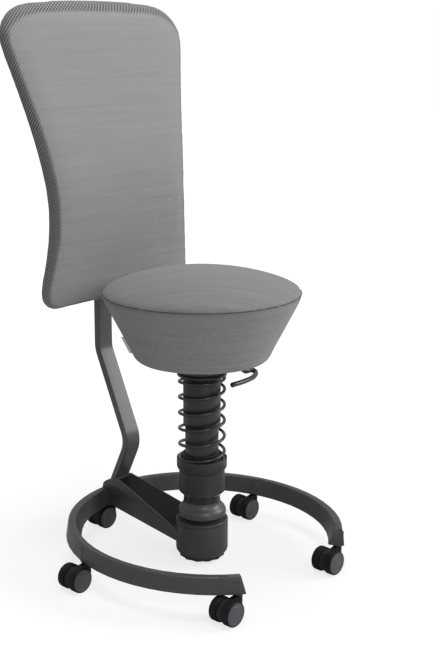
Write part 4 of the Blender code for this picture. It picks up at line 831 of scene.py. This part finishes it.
# The tag: a bare strip of white ribbon, folded once and sewn into the side of the cushion. It has a
# much finer weave than the cover.
tag = smooth_twin("seat_tag_ribbon", "seat_tag", 30, edge=0.0004)
lay_cloth(tag, lambda vertex: 0.0, lambda vertex: (vertex.co.x + vertex.co.y, vertex.co.z))
ribbon = knit("tag_ribbon", (0.95, 0.95, 0.95), (0.86, 0.86, 0.86), 0.0016)
fit(tag, ribbon, "seat", "tag_fabric", "seat_tag")


# The backrest: a waisted pad that leans back above the lumbar. Foam in a wider knit, lighter on the
# front than on its sides, over a moulded shell with a slide that runs on the mast and a knob.
LUMBAR_Z = 0.7128
PAD_FRONT = 0.215
LEAN_ABOVE, LEAN_BELOW = 0.0275, 0.022
LEAN_REACH = 0.1
HELD_DEPTH = 0.026
PAD_CAP = 0.002
PAD_FILL = 0.003
FLAT_REAR, REAR_BLEND = 0.92, 0.2
FLAT_FRONT = -0.85
pad = smooth_twin("backrest_pad_sewn", "backrest_pad", 60)
fuller = pad.modifiers.new("fuller", "SUBSURF")
fuller.levels = fuller.render_levels = 2
bpy.ops.object.modifier_apply(modifier=fuller.name)


def pad_front_y(height):
    """Where the pad's front lies at that height."""
    lean = LEAN_ABOVE if height > LUMBAR_Z else LEAN_BELOW
    return AXIS_Y + PAD_FRONT + lean * (math.sqrt(1 + ((height - LUMBAR_Z) / LEAN_REACH) ** 2) - 1)


def fill_out(piece, height):
    """Fills out the front and the rounded edges; the flat rear stays on its shell."""
    normals = [vertex.normal.copy() for vertex in piece.data.vertices]
    for vertex, normal in zip(piece.data.vertices, normals):
        vertex.co += normal * (height * clamped((FLAT_REAR - normal.y) / REAR_BLEND))


plump(pad, VOXEL, PAD_CAP, lambda place: place.y > pad_front_y(place.z) + HELD_DEPTH)
draw_out(pad, "backrest_pad", (0, 2))
fill_out(pad, PAD_FILL)
front = pad.vertex_groups.new(name="front")
front.add([v.index for v in pad.data.vertices if v.normal.y < FLAT_FRONT], 1.0, "REPLACE")
stroke(pad, "stroked_flat", 120, front.name)
pad.vertex_groups.clear()


def pad_lie(vertex):
    """The cloth runs up the front and on round the sides."""
    depth = vertex.co.y - pad_front_y(vertex.co.z)
    return vertex.co.x + math.copysign(depth, vertex.co.x), vertex.co.z


TOP_TURN = 0.5
SIDE_TURN, END_TURN, REAR_TURN = 0.25, 0.55, -0.5
TURN_BLEND = 0.12
STRIP_WIDTH, STRIP_BLEND = 0.014, 0.009
rim_points = [vertex.co for vertex in pad.data.vertices if vertex.normal.z > TOP_TURN]
top_rim = KDTree(len(rim_points))
for number, spot in enumerate(rim_points):
    top_rim.insert((spot.x, 0, spot.z), number)
top_rim.balance()


def pad_side(vertex):
    """The sides, ends and rear, and a strip under the top, where the cloth is stretched open."""
    turned = max((abs(vertex.normal.x) - SIDE_TURN) / TURN_BLEND,
                 (abs(vertex.normal.z) - END_TURN) / TURN_BLEND,
                 (vertex.normal.y - REAR_TURN) / TURN_BLEND)
    under_rim = top_rim.find((vertex.co.x, 0, vertex.co.z))[2]
    return clamped(max(turned, (STRIP_WIDTH - under_rim) / STRIP_BLEND))


lay_cloth(pad, pad_side, pad_lie, evened=10)
back_knit = knit("back_knit", (0.284, 0.284, 0.284), (0.238, 0.238, 0.238), 0.0080,
                 side_tones=(0.17, 0.94))
fit(pad, back_knit, "backrest", "back_fabric", "backrest_pad")

shell_plastic = coated("shell_plastic", (0.020, 0.020, 0.022), 0.55, tooth=0.25, grain=700.0)
shell = smooth_twin("backrest_shell_moulded", "backrest_shell", 30, edge=0.0015)
fit(shell, shell_plastic, "backrest", "black_plastic", "backrest_shell")
slide = smooth_twin("mast_slide", "back_carrier", 30, edge=0.001)
fit(slide, shell_plastic, "backrest", "black_plastic", "back_carrier")
clamp = smooth_twin("clamp_knob", "back_knob", 40, edge=0.0006, segments=1)
fit(clamp, knob_plastic, "back_knob", "black_plastic", "back_knob")


# The castors: twin wheels with a rubber tread and a flat grey face with two turned grooves, either
# side of a black moulded fork whose stem turns in the ring's socket. Each wheel turns by itself.
fork_plastic = coated("fork_plastic", (0.010, 0.011, 0.013), 0.55, tooth=0.10, grain=1000.0,
                      shine=0.22)
tread_rubber = coated("tread_rubber", (0.006, 0.006, 0.007), 0.60, tooth=0.12, grain=1200.0,
                      shine=0.16)
face_plastic = coated("face_plastic", (0.048, 0.052, 0.058), 0.40, tooth=0.08, grain=1000.0)
WHEEL_RADIUS = 0.025 - 0.0002
FACE_RADIUS = 0.0222
AXLE_BORE = 0.0037
CAP_CENTRE = 0.0004
CASTORS = ("front_right", "front_left", "side_left", "rear", "side_right")


def wheel_at(node, outward):
    """A wheel turned about its axle, with tread and face; outward is the side its face looks to."""
    low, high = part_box(node)
    middle = ((low[0] + high[0]) / 2, (low[1] + high[1]) / 2, (low[2] + high[2]) / 2)
    half = (high[1] - low[1]) / 2
    profile = [
        (AXLE_BORE, -half), (WHEEL_RADIUS - 0.0030, -half),
        (WHEEL_RADIUS - 0.0010, -half + 0.0006), (WHEEL_RADIUS, -half + 0.0022),
        (WHEEL_RADIUS, half - 0.0030), (WHEEL_RADIUS - 0.0004, half - 0.0014),
        (WHEEL_RADIUS - 0.0012, half - 0.0005), (FACE_RADIUS + 0.0005, half - 0.0003),
        (FACE_RADIUS + 0.0001, half - 0.0010), (FACE_RADIUS - 0.0003, half - 0.0010),
        (FACE_RADIUS - 0.0008, half - 0.0002), (FACE_RADIUS - 0.0018, half),
        (0.0170, half - 0.0002), (0.0164, half - 0.0007), (0.0156, half - 0.0007),
        (0.0150, half - 0.0002), (0.0060, half), (0.0020, half + 0.0003),
        (CAP_CENTRE, half + 0.0003), (CAP_CENTRE, half - 0.0006), (AXLE_BORE, half - 0.0006)]
    wheel = turn_up(node + "_turned", [(r, outward * a) for r, a in profile], middle, axis="Y",
                    segments=64)
    wheel.data.materials.append(tread_rubber)
    wheel.data.materials.append(face_plastic)
    for face in wheel.data.polygons:
        reach = math.hypot(face.center.x - middle[0], face.center.z - middle[2])
        outside = (face.center.y - middle[1]) * outward > 0
        face.material_index = 1 if outside and reach < FACE_RADIUS + 0.0002 else 0
    bpy.ops.object.shade_smooth_by_angle(angle=math.radians(32))
    return wheel


for castor in CASTORS:
    body = "castor_" + castor
    fork_node = body + "_fork"
    fork = smooth_twin(fork_node + "_moulded", fork_node, 30, edge=0.0010)
    fit(fork, fork_plastic, body, "castor_plastic", fork_node)
    dress(fork_plastic, body + "_axle")
    for side, outward in (("rear", 1), ("front", -1)):
        wheel_node = body + "_" + side + "_wheel"
        wheel = wheel_at(wheel_node, outward)
        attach(wheel, wheel_node)
        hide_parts(wheel_node)
